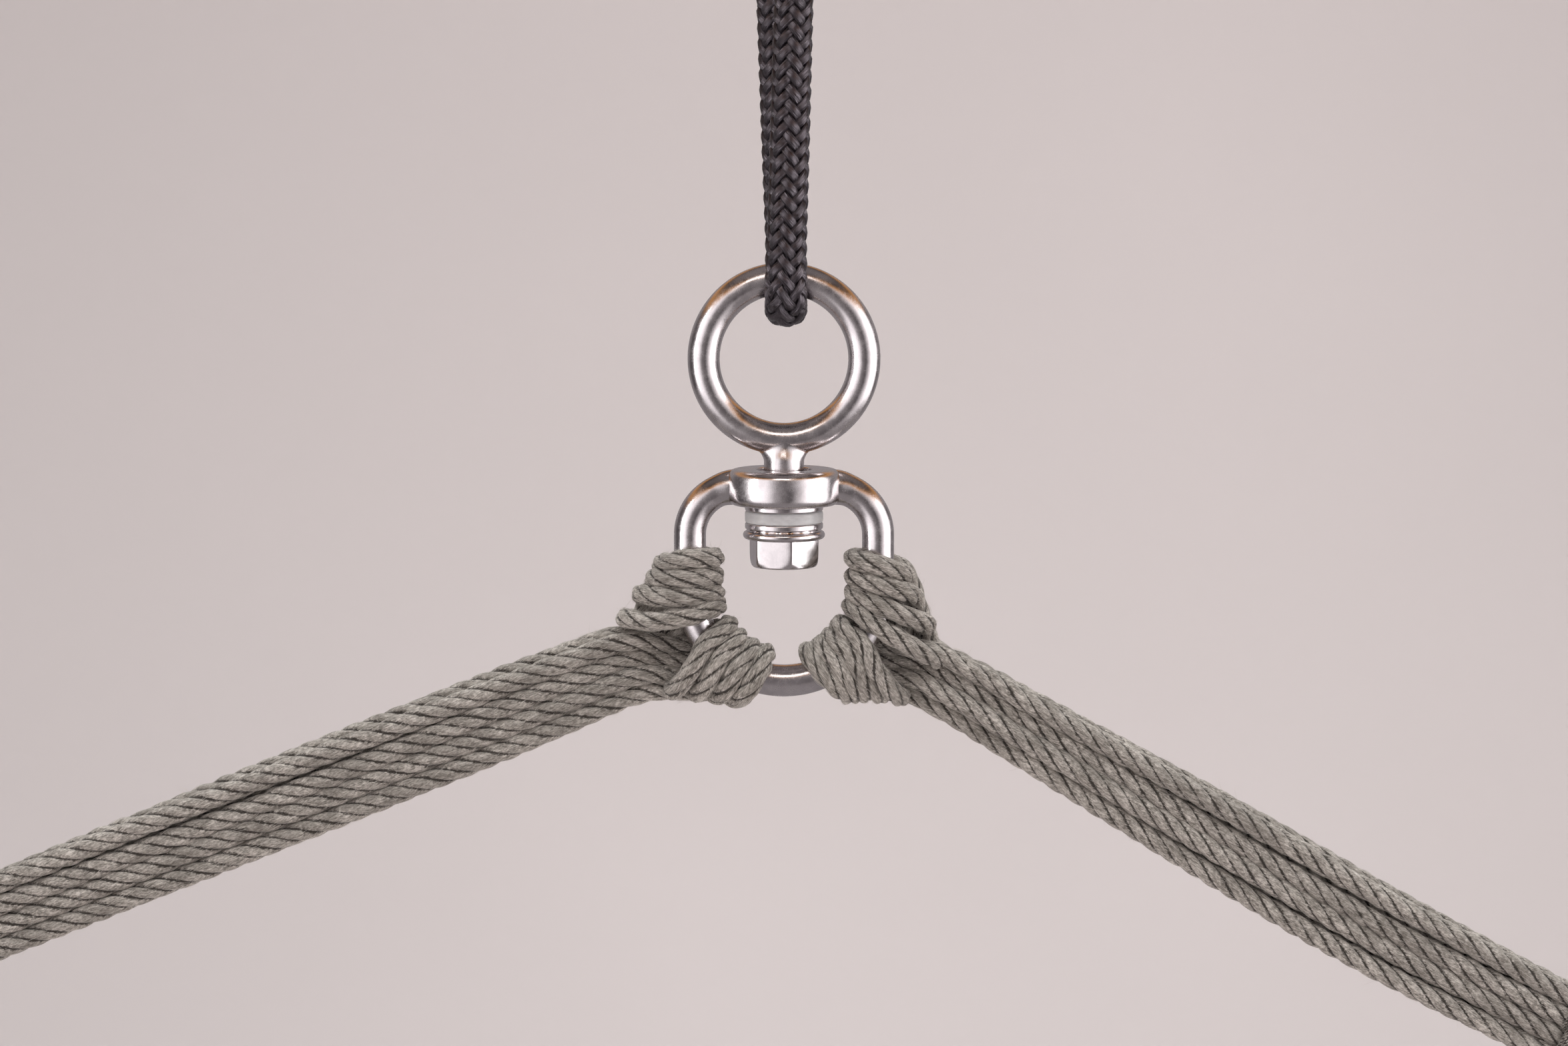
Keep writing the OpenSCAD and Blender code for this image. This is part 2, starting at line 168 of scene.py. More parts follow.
# Leg rows: distance from the knot, middle depth, half gap between the layers,
# pitch of the cords, sideways shift of the front layer, stagger in depth.
LEG_ROWS = {
    "left": [
        [0.006, 0.0046, 0.0026, 0.0046, -0.001, 0.0008],
        [0.0135, 0.0034, 0.0026, 0.0047, -0.0008, 0.0004],
        [0.0185, 0.0029, 0.0026, 0.0047, -0.0008, 0.0003],
        [0.040, 0.001, 0.0026, 0.0050, -0.0008, 0],
        [0.090, 0, 0.0026, 0.0052, -0.0008, 0],
        [0.140, 0, 0.0026, 0.0052, -0.0004, 0],
        [0.188, 0, 0.00265, 0.0052, 0, 0],
        [0.200, 0, 0.0027, 0.0052, 0, 0],
        [0.207, 0, 0.0044, 0.0052, 0, 0],
    ],
    "right": [
        [0.006, 0.0046, 0.0026, 0.0042, -0.0002, 0.0012],
        [0.0135, 0.0034, 0.0026, 0.0042, 0, 0.0012],
        [0.0185, 0.0029, 0.0026, 0.0042, 0, 0.0012],
        [0.040, 0.001, 0.0026, 0.0044, -0.0002, 0.001],
        [0.090, 0, 0.0026, 0.0050, -0.0006, 0.0004],
        [0.140, 0, 0.0026, 0.0052, -0.0006, 0],
        [0.190, 0, 0.00265, 0.0052, 0, 0],
        [0.202, 0, 0.0027, 0.0052, 0, 0],
        [0.209, 0, 0.0044, 0.0052, 0, 0],
    ],
}
SIGN = {"left": -1.0, "right": 1.0}
SLOPE = {"left": math.radians(21), "right": math.radians(29)}
KNOT = {"left": (0.0293, 0.0486), "right": (0.0293, 0.0484)}
REACH = {"left": 0.214, "right": 0.216}
# Distances from the knot, and how far the leg there rides off its straight axis.
RISE = {
    "left": ((0, 0.0135, 0.07, 0.2), (0.0012, 0.0028, 0.0022, 0)),
    "right": ((0.008, 0.02, 0.08, 0.145, 0.2), (0, 0.0004, -0.0003, -0.0013, 0)),
}
# Sideways slack of the four front cords midway along a leg, lowest cord first.
SLACK = {"left": (0.0001, 0.0002, -0.0003, 0.0004), "right": (-0.0005, 0.0002, -0.0004, 0.0005)}
WHIP_BACK = 0.026
WHIP_LONG = 0.012
BAR_BEND = 0.0056
SEAT_WIRE_R = 0.003
SEAT_HALF = 0.014
SEAT_DEEP = 0.024
SEAT_CORNER = 0.006
WHIP_TWINE_R = 0.00066
SPLICE_TWINE_R = 0.00062

YARNS = 8
YARN_SINK = 0.00135
YARN_SWING = 0.0006
CORE_SINK = 0.0014
LOW_BEND = 0.0082
TOP_BEND = 0.0092
LOW_X = 0.0005
SPLICE_LOW = BOSS_Z + 0.121
SPLICE_LONG = 0.018


# ---------------------------------------------------------------- lines and frames


BACK = np.array([0, 1.0, 0])
UP = np.array([0, 0, 1.0])


def square_to(v, t):
    """The part of each vector square to a unit direction, at length one."""
    return unit(v - np.sum(v * t, axis=-1, keepdims=True) * t)


def unit(v):
    """Vectors scaled to length one."""
    return v / np.linalg.norm(v, axis=-1, keepdims=True)


def ease(x, low, high):
    """Zero below low, one above high, and the smooth cubic 3x^2 - 2x^3 between."""
    t = np.clip((x - low) / (high - low), 0, 1)
    return t * t * (3 - 2 * t)


def hermite(f, start, pull_off, end, pull_in):
    """Cubic Hermite span from start to end at fractions f, with its two end slopes."""
    return (
        (2 * f**3 - 3 * f**2 + 1) * start
        + (f**3 - 2 * f**2 + f) * pull_off
        + (3 * f**2 - 2 * f**3) * end
        + (f**3 - f**2) * pull_in
    )


def curve_through(points, per=24):
    """A centripetal Catmull-Rom curve: cubic Hermite spans between the points, whose
    knots are the square roots of the spans' lengths."""
    p = np.asarray(points, float)
    step = np.diff(p, axis=0)
    knot = np.sqrt(np.linalg.norm(step, axis=1))[:, None]
    slope = step / knot
    m = np.empty_like(p)
    m[1:-1] = (slope[:-1] * knot[1:] + slope[1:] * knot[:-1]) / (knot[:-1] + knot[1:])
    m[0], m[-1] = slope[0], slope[-1]
    f = np.linspace(0, 1, per, endpoint=False)[None, :, None]
    a, b = p[:-1, None], p[1:, None]
    ma, mb = (m[:-1] * knot)[:, None], (m[1:] * knot)[:, None]
    return np.vstack([hermite(f, a, ma, b, mb).reshape(-1, 3), p[-1]])


def lengths(line):
    """Length along a line at each of its points."""
    return np.concatenate([[0], np.cumsum(np.linalg.norm(np.diff(line, axis=0), axis=1))])


def evenly(line, step):
    """The line again, with its points an even step apart."""
    at = lengths(line)
    count = max(int(round(at[-1] / step)), 2) + 1
    want = np.linspace(0, at[-1], count)
    return np.stack([np.interp(want, at, line[:, i]) for i in range(3)], axis=1)


def along(line):
    """Unit direction of a line at each point, from its neighbours' difference."""
    return unit(np.gradient(line, axis=0))


def frames(line):
    """Direction, normal and side of a line that don't twist about it. A first normal
    is taken square to the axis that the line follows least; the turn that carries one
    to the next is summed along the line and taken off."""
    t = along(line)
    axis = np.eye(3)[np.argmin(np.abs(t), axis=1)]
    n = square_to(axis, t)
    b = np.cross(t, n)
    carried = square_to(n[:-1], t[1:])
    turn = np.arctan2(np.sum(carried * b[1:], axis=1), np.sum(carried * n[1:], axis=1))
    angle = np.concatenate([[0], np.cumsum(turn)])[:, None]
    normal = np.cos(angle) * n + np.sin(angle) * b
    return t, normal, np.cross(t, normal)


def all_round(count):
    """Even angles once round a circle, in radians."""
    return np.linspace(0, 2 * np.pi, count, endpoint=False)


def arc(centre, radius, start, stop, count, across=(1, 0, 0), up=(0, 0, 1)):
    """Points of a circular arc in the plane of two directions, angles in degrees."""
    a = np.radians(np.linspace(start, stop, count))[:, None]
    return np.asarray(centre) + radius * (np.cos(a) * np.asarray(across) + np.sin(a) * np.asarray(up))


def round_box(half_w, half_h, corner, count):
    """An outline with round corners, evenly stepped, as (w, h) pairs from the middle
    of its right side and counterclockwise."""
    quarter = [(1, 1, 0), (-1, 1, 90), (-1, -1, 180), (1, -1, 270)]
    parts = [np.array([[half_w, 0.0, 0.0]])]
    for sx, sy, start in quarter:
        centre = (sx * (half_w - corner), sy * (half_h - corner), 0)
        parts.append(arc(centre, corner, start, start + 90, 24, up=(0, 1, 0)))
    parts.append(parts[0])
    line = evenly(np.vstack(parts), 0.0001)
    pick = np.linspace(0, len(line) - 1, count + 1)[:-1].round().astype(int)
    return line[pick, :2]


# ---------------------------------------------------------------- meshes from grids


def quads(rows, cols, wrap_rows=False):
    """Faces of a grid whose columns run round and meet, and its rows too if asked."""
    i = np.arange(rows if wrap_rows else rows - 1)[:, None]
    j = np.arange(cols)[None, :]
    down, side = (i + 1) % rows, (j + 1) % cols
    return np.stack(
        [i * cols + j, i * cols + side, down * cols + side, down * cols + j], axis=-1
    ).reshape(-1, 4)


def tube(grid):
    """A closed tube: rows run along it, columns round it counterclockwise, and a point
    at the middle of the first and last row closes each end."""
    rows, cols, wide = grid.shape
    ends = grid[[0, -1]].mean(axis=1)
    first, last = rows * cols, rows * cols + 1
    j = np.arange(cols)
    side = (j + 1) % cols
    base = (rows - 1) * cols
    caps = [
        np.stack([side, j, np.full(cols, first)], axis=1),
        np.stack([base + j, base + side, np.full(cols, last)], axis=1),
    ]
    faces = quads(rows, cols).tolist() + np.vstack(caps).tolist()
    return np.vstack([grid.reshape(-1, wide), ends]), faces


def hoop(grid):
    """A closed ring: its rows and its columns both run round and meet themselves."""
    rows, cols, wide = grid.shape
    return grid.reshape(-1, wide), quads(rows, cols, True).tolist()


def together(shells):
    """Several closed shells as one list of points and faces."""
    starts = np.cumsum([0] + [len(points) for points, _ in shells[:-1]])
    faces = [[i + s for i in face] for (_, some), s in zip(shells, starts) for face in some]
    return np.vstack([points for points, _ in shells]), faces


def same_shells(grid, faces_of_one):
    """Many shells of one pattern: grid is (shells, points, channels)."""
    count, size, wide = grid.shape
    faces = []
    for kind in faces_of_one:
        kind = np.asarray(kind)
        faces += (kind[None] + (np.arange(count) * size)[:, None, None]).reshape(
            -1, kind.shape[1]
        ).tolist()
    return grid.reshape(-1, wide), faces


def make_piece(name, shell, material, sharp=40):
    """A mesh object of the points and faces. Channels past the third are the
    straightened place of each point, kept as the attribute "lay"."""
    points, faces = shell
    mesh = bpy.data.meshes.new(name)
    mesh.from_pydata(points[:, :3].tolist(), [], faces)
    if points.shape[1] > 3:
        lay = mesh.attributes.new("lay", "FLOAT_VECTOR", "POINT")
        lay.data.foreach_set("vector", points[:, 3:6].astype(np.float32).ravel())
    mesh.shade_smooth()
    mesh.set_sharp_from_angle(angle=math.radians(sharp))
    mesh.materials.append(material)
    piece = bpy.data.objects.new(name, mesh)
    bpy.context.collection.objects.link(piece)
    return piece


def sweep(line, radius, cols=32, t_n_b=None):
    """Round section of the given radius, one value or one a point, along a line."""
    t, n, b = t_n_b or frames(line)
    a = all_round(cols)[None, :, None]
    r = np.broadcast_to(radius, len(line))[:, None, None]
    return line[:, None] + r * (np.cos(a) * n[:, None] + np.sin(a) * b[:, None])


def lathe(profile, cols=96):
    """A profile of (radius, height) pairs turned about the Z axis."""
    a = all_round(cols)[None, :]
    r, z = np.asarray(profile, float).T[:, :, None]
    return np.stack([r * np.cos(a), r * np.sin(a), z + 0 * a], axis=-1)


def rounded(corners, radii, steps=6):
    """A closed profile of (radius, height) corners, counterclockwise, each corner
    replaced by a quadratic curve that starts and ends its radius away."""
    p = np.asarray(corners, float)
    r = np.asarray(radii, float)[:, None]
    before, after = np.roll(p, 1, axis=0) - p, np.roll(p, -1, axis=0) - p
    a, b = p + r * unit(before), p + r * unit(after)
    f = np.linspace(0, 1, steps)[None, :, None]
    line = (1 - f) ** 2 * a[:, None] + 2 * f * (1 - f) * p[:, None] + f**2 * b[:, None]
    return line.reshape(-1, 2)


# ---------------------------------------------------------------- places on wire and leg


def wire_place(side, way, turn, out):
    """A place about the bow's wire: way below the straight limb's foot along it, turn
    in degrees (0 outside, 90 front, 180 inside, 270 back), out from its centre."""
    a = max(way, 0) / BOW_R
    outward = np.array([SIGN[side] * math.cos(a), 0, -math.sin(a)])
    foot = np.array([0, 0, ARC_Z - min(way, 0)]) + BOW_R * outward
    turn = math.radians(turn)
    return foot + out * (math.cos(turn) * outward - math.sin(turn) * BACK)


def leg_axes(side):
    """Knot, direction out along the leg, and direction up across it."""
    x, drop = KNOT[side]
    s, a = SIGN[side], SLOPE[side]
    return (
        np.array([s * x, 0, BOSS_Z - drop]),
        np.array([s * math.cos(a), 0, -math.sin(a)]),
        np.array([s * math.sin(a), 0, math.cos(a)]),
    )


def leg_place(side, far, across, depth):
    """A place on a leg: distance from the knot, offset across it, depth behind it.
    Near the knot the leg rides a little higher or lower than its straight axis."""
    knot, way, up = leg_axes(side)
    rise = np.interp(far, *RISE[side])
    return knot + far * way + (across + rise) * up + depth * BACK


def strand(side, row, slot, layer):
    """One strand of a leg at a row: slot 0 is lowest, layer -1 the front, 1 the back."""
    far, depth, half, pitch, shift, stagger = row
    across = (slot - (CORDS - 1) / 2) * pitch - layer * shift
    if layer < 0:
        across += SLACK[side][slot] * ease(far, 0.03, 0.07) * (1 - ease(far, 0.15, 0.19))
    return leg_place(side, far, across, depth + layer * half + (stagger if slot % 2 == 0 else -stagger))


def cord_points(side, k):
    """Waypoints of cord k: from the whipping in along the back layer, twice round the
    bow's wire, out along the front layer, round the seat ring's bar and back in."""
    rows = LEG_ROWS[side]
    last = len(rows) - 1
    inner = [strand(side, rows[i], CORDS - 1 - k, 1) for i in range(last - 2, -1, -1)]
    start = [0.5 * (strand(side, rows[last - 1], CORDS - 1 - k, 1) + inner[0])]
    share = k / (CORDS - 1)
    hitch = []
    for first, other in HITCH[side]:
        way, turn, _ = (a + (b - a) * share for a, b in zip(first, other))
        reach = share**1.6 if other[2] > first[2] else 1 - (1 - share) ** 1.6
        hitch.append(wire_place(side, way, turn, first[2] + (other[2] - first[2]) * reach))
    outer = [strand(side, rows[i], k, -1) for i in range(last + 1)]
    bar = [
        leg_place(
            side,
            REACH[side] + BAR_BEND * math.cos(a),
            (k - (CORDS - 1) / 2) * BAR_PITCH,
            BAR_BEND * math.sin(a),
        )
        for a in np.radians([-90, -45, 0, 45, 90])
    ]
    back = [strand(side, rows[last], k, 1), strand(side, rows[last - 1], k, 1)]
    back.append(0.45 * back[-1] + 0.55 * strand(side, rows[last - 2], k, 1))
    return start + inner + hitch + outer + bar + back


# ---------------------------------------------------------------- materials


def node(tree, kind, inputs=None, **settings):
    """Adds a shader node. Inputs are numbers, colours or other nodes' sockets, by the
    socket's name or number; settings are the node's own."""
    made = tree.nodes.new("ShaderNode" + kind)
    for key, value in settings.items():
        setattr(made, key, value)
    for key, value in (inputs or {}).items():
        if isinstance(value, bpy.types.NodeSocket):
            tree.links.new(value, made.inputs[key])
        else:
            made.inputs[key].default_value = value
    return made


def new_material(name, sockets):
    """A material with one Principled shader, and the constants on its own sockets."""
    made = bpy.data.materials.new(name)
    made.use_nodes = True
    shader = made.node_tree.nodes["Principled BSDF"]
    for key, value in sockets.items():
        shader.inputs[key].default_value = value
    return made, made.node_tree, shader


def emboss(tree, shader, height, strength, distance):
    """Gives the shader a bump of the height socket."""
    inputs = {"Strength": strength, "Distance": distance, "Height": height}
    tree.links.new(node(tree, "Bump", inputs).outputs[0], shader.inputs["Normal"])


def ramp(tree, factor, stops):
    """A colour ramp's output. Stops are (place, (r, g, b))."""
    made = node(tree, "ValToRGB", {"Fac": factor})
    points = made.color_ramp.elements
    while len(points) < len(stops):
        points.new(0.5)
    for point, (place, colour) in zip(points, stops):
        point.position = place
        point.color = (*colour, 1)
    return made.outputs["Color"]


def reckon(tree, operation, *values):
    """A Math node's result of one to three numbers or sockets."""
    return node(tree, "Math", dict(enumerate(values)), operation=operation).outputs[0]


def shade(tree, low, high, factor):
    """A mix of two colours, or colour sockets, by a factor."""
    made = node(tree, "Mix", data_type="RGBA")
    for socket, value in ((0, factor), (6, low), (7, high)):
        if isinstance(value, bpy.types.NodeSocket):
            tree.links.new(value, made.inputs[socket])
        elif socket:
            made.inputs[socket].default_value = (*value, 1)
        else:
            made.inputs[socket].default_value = value
    return made.outputs[2]


def between(tree, value, low, high, to_low=0.0, to_high=1.0):
    """A value carried from one range to another, and held at its ends."""
    made = node(
        tree,
        "MapRange",
        {"Value": value, "From Min": low, "From Max": high, "To Min": to_low, "To Max": to_high},
        interpolation_type="SMOOTHSTEP",
    )
    return made.outputs["Result"]


def stretched_noise(tree, vector, scale, detail=4.0, rough=0.6, size=400.0):
    """Noise on coordinates scaled by three factors, so it draws out along one axis."""
    mapping = node(tree, "Mapping", {"Vector": vector, "Scale": scale}, vector_type="POINT")
    made = node(
        tree,
        "TexNoise",
        {"Vector": mapping.outputs[0], "Scale": size, "Detail": detail, "Roughness": rough},
    )
    return made.outputs["Fac"]


def rope_material(name, low, middle, high, radius, groove_shade):
    """Staple fibre: streaks along the cord in three sizes, soft patches, and painted shade in the
    grooves between the strands. The three noises are summed, then spread over the tones."""
    made, tree, shader = new_material(
        name,
        {
            "Roughness": 0.95,
            "Specular IOR Level": 0.12,
            "Sheen Weight": 0.2,
            "Sheen Roughness": 0.6,
        },
    )
    lay = node(tree, "Attribute", attribute_name="lay").outputs["Vector"]
    tone = 0.0
    for scale, stretch, share in ((4200, 0.25, 0.42), (2000, 0.3, 0.33), (600, 0.4, 0.25)):
        streaks = stretched_noise(tree, lay, (1, 1, stretch), 2.0, 0.6, scale)
        tone = reckon(tree, "MULTIPLY_ADD", streaks, share, tone)
    colour = ramp(tree, tone, [(0.40, low), (0.50, middle), (0.61, high)])
    patches = stretched_noise(tree, lay, (1, 1, 0.5), 2.0, 0.5, 150)
    patch = between(tree, patches, 0.40, 0.68, 0.0, 0.4)
    colour = shade(tree, colour, low, patch)
    # Painted shade: the deeper the section dips between two strands, the more groove tone is mixed in.
    # This is shade in the seams, added on top of the real shading of the strands' lobes.
    flat = node(tree, "VectorMath", {0: lay, 1: (1, 1, 0)}, operation="MULTIPLY").outputs[0]
    out = node(tree, "VectorMath", {0: flat}, operation="LENGTH").outputs["Value"]
    ragged = reckon(tree, "MULTIPLY_ADD", tone, 0.5 * radius, out)
    crest = between(tree, ragged, radius * 1.06, radius * 1.20)
    colour = shade(tree, groove_shade, colour, crest)
    tree.links.new(colour, shader.inputs["Base Color"])
    emboss(tree, shader, tone, 1.0, 0.0005)
    return made


def braid_material(name, low, high):
    """Shiny filament yarn: fine lines along each yarn, black where one dives under."""
    made, tree, shader = new_material(
        name,
        {
            "IOR": 1.9,
            "Specular Tint": (1.0, 0.88, 0.97, 1.0),
            "Anisotropic": 0.5,
        },
    )
    lay = node(tree, "Attribute", attribute_name="lay").outputs["Vector"]
    lines = stretched_noise(tree, lay, (1, 1, 0.03), 2.0, 0.6, 4200)
    cloud = stretched_noise(tree, lay, (1, 1, 0.3), 2.0, 0.5, 420)
    tone = reckon(tree, "MULTIPLY", lines, 0.75)
    tone = reckon(tree, "MULTIPLY_ADD", cloud, 0.25, tone)
    tree.links.new(ramp(tree, tone, [(0.40, low), (0.60, high)]), shader.inputs["Base Color"])
    gloss = between(tree, lines, 0.4, 0.6, 0.26, 0.12)
    over = node(tree, "SeparateXYZ", {0: lay}).outputs[0]
    edge = between(tree, reckon(tree, "ABSOLUTE", over), 0.0006, 0.0012, 0.0, 0.35)
    gloss = reckon(tree, "ADD", gloss, edge)
    tree.links.new(gloss, shader.inputs["Roughness"])
    emboss(tree, shader, lines, 1.0, 0.0004)
    return made


def steel_material(name, colour, rough_low, rough_high, grain):
    """Tumbled stainless: fine cast grain, cloudy gloss, a few fine scratches."""
    made, tree, shader = new_material(name, {"Metallic": 1.0, "Specular IOR Level": 0.5})
    place = node(tree, "TexCoord").outputs["Object"]
    fine = stretched_noise(tree, place, (1, 1, 1), 4.0, 0.65, 2600)
    cloud = stretched_noise(tree, place, (1, 1, 1), 4.0, 0.6, 260)
    lines = stretched_noise(tree, place, (1, 0.12, 0.3), 3.0, 0.6, 3400)
    dull = tuple(0.82 * c for c in colour)
    tree.links.new(ramp(tree, cloud, [(0.35, dull), (0.6, colour)]), shader.inputs["Base Color"])
    gloss = reckon(tree, "MULTIPLY", cloud, 0.6)
    gloss = reckon(tree, "MULTIPLY_ADD", fine, 0.4, gloss)
    gloss = between(tree, gloss, 0.38, 0.62, rough_low, rough_high)
    tree.links.new(gloss, shader.inputs["Roughness"])
    height = reckon(tree, "MULTIPLY_ADD", lines, 0.3, fine)
    emboss(tree, shader, height, grain, 0.00004)
    return made


def nylon_material(name, colour):
    """Milky moulded nylon that lets some light in."""
    made, tree, shader = new_material(
        name,
        {
            "Roughness": 0.38,
            "Subsurface Weight": 0.45,
            "Subsurface Scale": 0.002,
            "Subsurface Radius": (1.0, 0.9, 0.8),
        },
    )
    place = node(tree, "TexCoord").outputs["Object"]
    cloud = stretched_noise(tree, place, (1, 1, 2.5), 3.0, 0.5, 500)
    dim = tuple(0.88 * c for c in colour)
    tree.links.new(ramp(tree, cloud, [(0.35, dim), (0.65, colour)]), shader.inputs["Base Color"])
    emboss(tree, shader, cloud, 0.15, 0.00003)
    return made


def backdrop_material(name, colour):
    """Matt painted board, faintly uneven, with painted shade that dims it towards its sides as the
    light falls off.
    """
    made, tree, shader = new_material(name, {"Roughness": 1.0, "Specular IOR Level": 0.0})
    place = node(tree, "TexCoord").outputs["Object"]
    cloud = stretched_noise(tree, place, (1, 1, 1), 2.0, 0.5, 0.8)
    dim = tuple(0.965 * c for c in colour)
    board = ramp(tree, cloud, [(0.3, dim), (0.7, colour)])
    # Painted shade: towards the left and right, the board is mixed with a darker copy of its colour for
    # the falloff of light.
    across = node(tree, "SeparateXYZ", {0: place}).outputs[0]
    left = between(tree, across, -1.7, 0.1, 1.0, 0.0)
    right = between(tree, across, 0.5, 1.9, 0.0, 0.6)
    side = reckon(tree, "ADD", left, right)
    board = shade(tree, board, tuple(0.84 * c for c in colour), side)
    tree.links.new(board, shader.inputs["Base Color"])
    return made


# ---------------------------------------------------------------- settings


def colour_property(name, default, description):
    """A colour that the user can change."""
    return FloatVectorProperty(
        name=name, description=description, subtype="COLOR", size=3, min=0, max=1, default=default
    )


def length_property(name, default, low, high, description):
    """A length in metres that the user can change."""
    return FloatProperty(
        name=name,
        description=description,
        unit="LENGTH",
        precision=5,
        min=low,
        max=high,
        default=default,
    )


def power_property(name, description):
    """A light's power that the user can change."""
    return FloatProperty(name=name, description=description, unit="POWER", default=3.0, min=0, max=200)


class SwingRopeSettings(PropertyGroup):
    """Sizes and colours of the laid cords."""

    diameter: length_property("Cord Diameter", 0.0052, 0.004, 0.006, "Diameter of a laid cord")
    lay: length_property("Lay", 0.0232, 0.014, 0.032, "Length in which a strand turns once")
    fibres: IntProperty(
        name="Loose Fibres",
        description="Number of fibres that stand off each leg's cords",
        default=7600,
        min=0,
        max=12000,
    )
    low: colour_property("Shade", (0.215, 0.200, 0.174), "Darkest tone of the fibre")
    middle: colour_property("Grey", (0.480, 0.452, 0.408), "Main tone of the fibre")
    high: colour_property("Light", (0.880, 0.843, 0.782), "Lightest tone of the fibre")
    # Painted shade: the tone painted into the seams between the strands, where shade falls.
    groove_shade: colour_property("Groove", (0.064, 0.057, 0.049), "Tone between the strands")


class SwingSlingSettings(PropertyGroup):
    """Sizes and colours of the braided sling."""

    diameter: length_property("Sling Diameter", 0.010, 0.009, 0.011, "Diameter of the braid")
    pitch: length_property("Turn", 0.0304, 0.020, 0.040, "Length in which a yarn turns once")
    yarn_wide: length_property("Yarn Width", 0.00235, 0.002, 0.004, "Width of a flat yarn")
    yarn_thick: length_property("Yarn Thickness", 0.0015, 0.001, 0.002, "Thickness of a yarn")
    low: colour_property("Black", (0.0004, 0.0003, 0.0005), "Darkest tone of the filament")
    high: colour_property("Grey Black", (0.0065, 0.0052, 0.0070), "Lightest tone of the filament")


class SwingSteelSettings(PropertyGroup):
    """Finish of the stainless parts."""

    colour: colour_property("Steel", (0.69, 0.65, 0.655), "Colour of the polished steel")
    polish: FloatProperty(
        name="Roughness",
        description="Roughness of the cleanest polished steel",
        subtype="FACTOR",
        default=0.16,
        min=0.05,
        max=0.5,
    )


class SwingStageSettings(PropertyGroup):
    """Backdrop and light."""

    backdrop: colour_property("Backdrop", (0.845, 0.800, 0.797), "Colour of floor and wall")
    side_light: power_property("Side Light", "Power of each soft box beside the hanger")
    front_light: power_property("Front Light", "Power of the soft box above the camera")


# ---------------------------------------------------------------- stage and camera


class SWING_OT_camera(Operator):
    """Place the camera level with the swivel, in front of it"""

    bl_idname = "swing.camera"
    bl_label = "Camera"

    def execute(self, context):
        aim = Vector((0, 0, BOSS_Z - 0.0136))
        lift, away = math.radians(6), 1.09
        data = bpy.data.cameras.new("camera")
        data.lens = 100.2
        data.sensor_width = 36
        data.clip_start, data.clip_end = 0.05, 60
        camera = bpy.data.objects.new("camera", data)
        camera.location = aim + away * Vector((0, -math.cos(lift), math.sin(lift)))
        camera.rotation_euler = (aim - camera.location).to_track_quat("-Z", "Y").to_euler()
        context.collection.objects.link(camera)
        context.scene.camera = camera
        return {"FINISHED"}


def soft_box(name, place, aim, wide, high, power):
    """A rectangular light that faces a point. Only polished surfaces mirror it."""
    data = bpy.data.lights.new(name, "AREA")
    data.shape = "RECTANGLE"
    data.size, data.size_y = wide, high
    data.energy = power
    light = bpy.data.objects.new(name, data)
    light.location = place
    light.rotation_euler = (Vector(aim) - Vector(place)).to_track_quat("-Z", "Y").to_euler()
    light.visible_camera = False
    light.visible_diffuse = False
    bpy.context.collection.objects.link(light)


def studio_world():
    """Even pale light all round. Polished steel mirrors a room instead, by direction:
    a dim grey surround with a warm ceiling, and a tall pale window at each side. The
    walls' ramp starts behind, turns by the left to the front at its middle, and on by
    the right."""
    world = bpy.data.worlds.new("studio")
    bpy.context.scene.world = world
    world.use_nodes = True
    tree = world.node_tree
    tree.nodes.clear()
    way = node(tree, "TexCoord").outputs["Generated"]
    x, y, z = node(tree, "SeparateXYZ", {0: way}).outputs
    front = reckon(tree, "MULTIPLY", y, -1.0)
    turn = reckon(tree, "DIVIDE", reckon(tree, "ARCTAN2", x, front), 2 * math.pi)
    turn = reckon(tree, "ADD", turn, 0.5)
    dim, mid, soft = (0.085, 0.075, 0.078), (0.25, 0.23, 0.235), (0.75, 0.71, 0.72)
    left, right = (1.25, 1.20, 1.23), (1.9, 1.83, 1.86)
    walls = ramp(
        tree,
        turn,
        [
            (0.02, mid),
            (0.12, mid),
            (0.20, dim),
            (0.27, dim),
            (0.325, left),
            (0.40, left),
            (0.455, mid),
            (0.54, dim),
            (0.60, soft),
            (0.655, right),
            (0.755, right),
            (0.80, dim),
            (0.88, mid),
            (0.98, mid),
        ],
    )
    height = between(tree, z, -1.0, 1.0)
    over = ramp(
        tree,
        height,
        [
            (0.0, (0.24, 0.22, 0.225)),
            (0.78, (0.16, 0.135, 0.13)),
            (0.84, (0.62, 0.30, 0.10)),
            (0.90, (0.50, 0.24, 0.08)),
            (0.95, (0.05, 0.035, 0.03)),
            (1.0, (0.16, 0.14, 0.14)),
        ],
    )
    steep = reckon(tree, "ABSOLUTE", z)
    room = shade(tree, walls, over, between(tree, steep, 0.35, 0.62))
    mirror = node(tree, "LightPath").outputs["Is Glossy Ray"]
    colour = shade(tree, (1.0, 0.985, 0.975), room, mirror)
    sky = node(tree, "Background", {"Color": colour, "Strength": 1.3})
    node(tree, "OutputWorld", {"Surface": sky.outputs[0]})


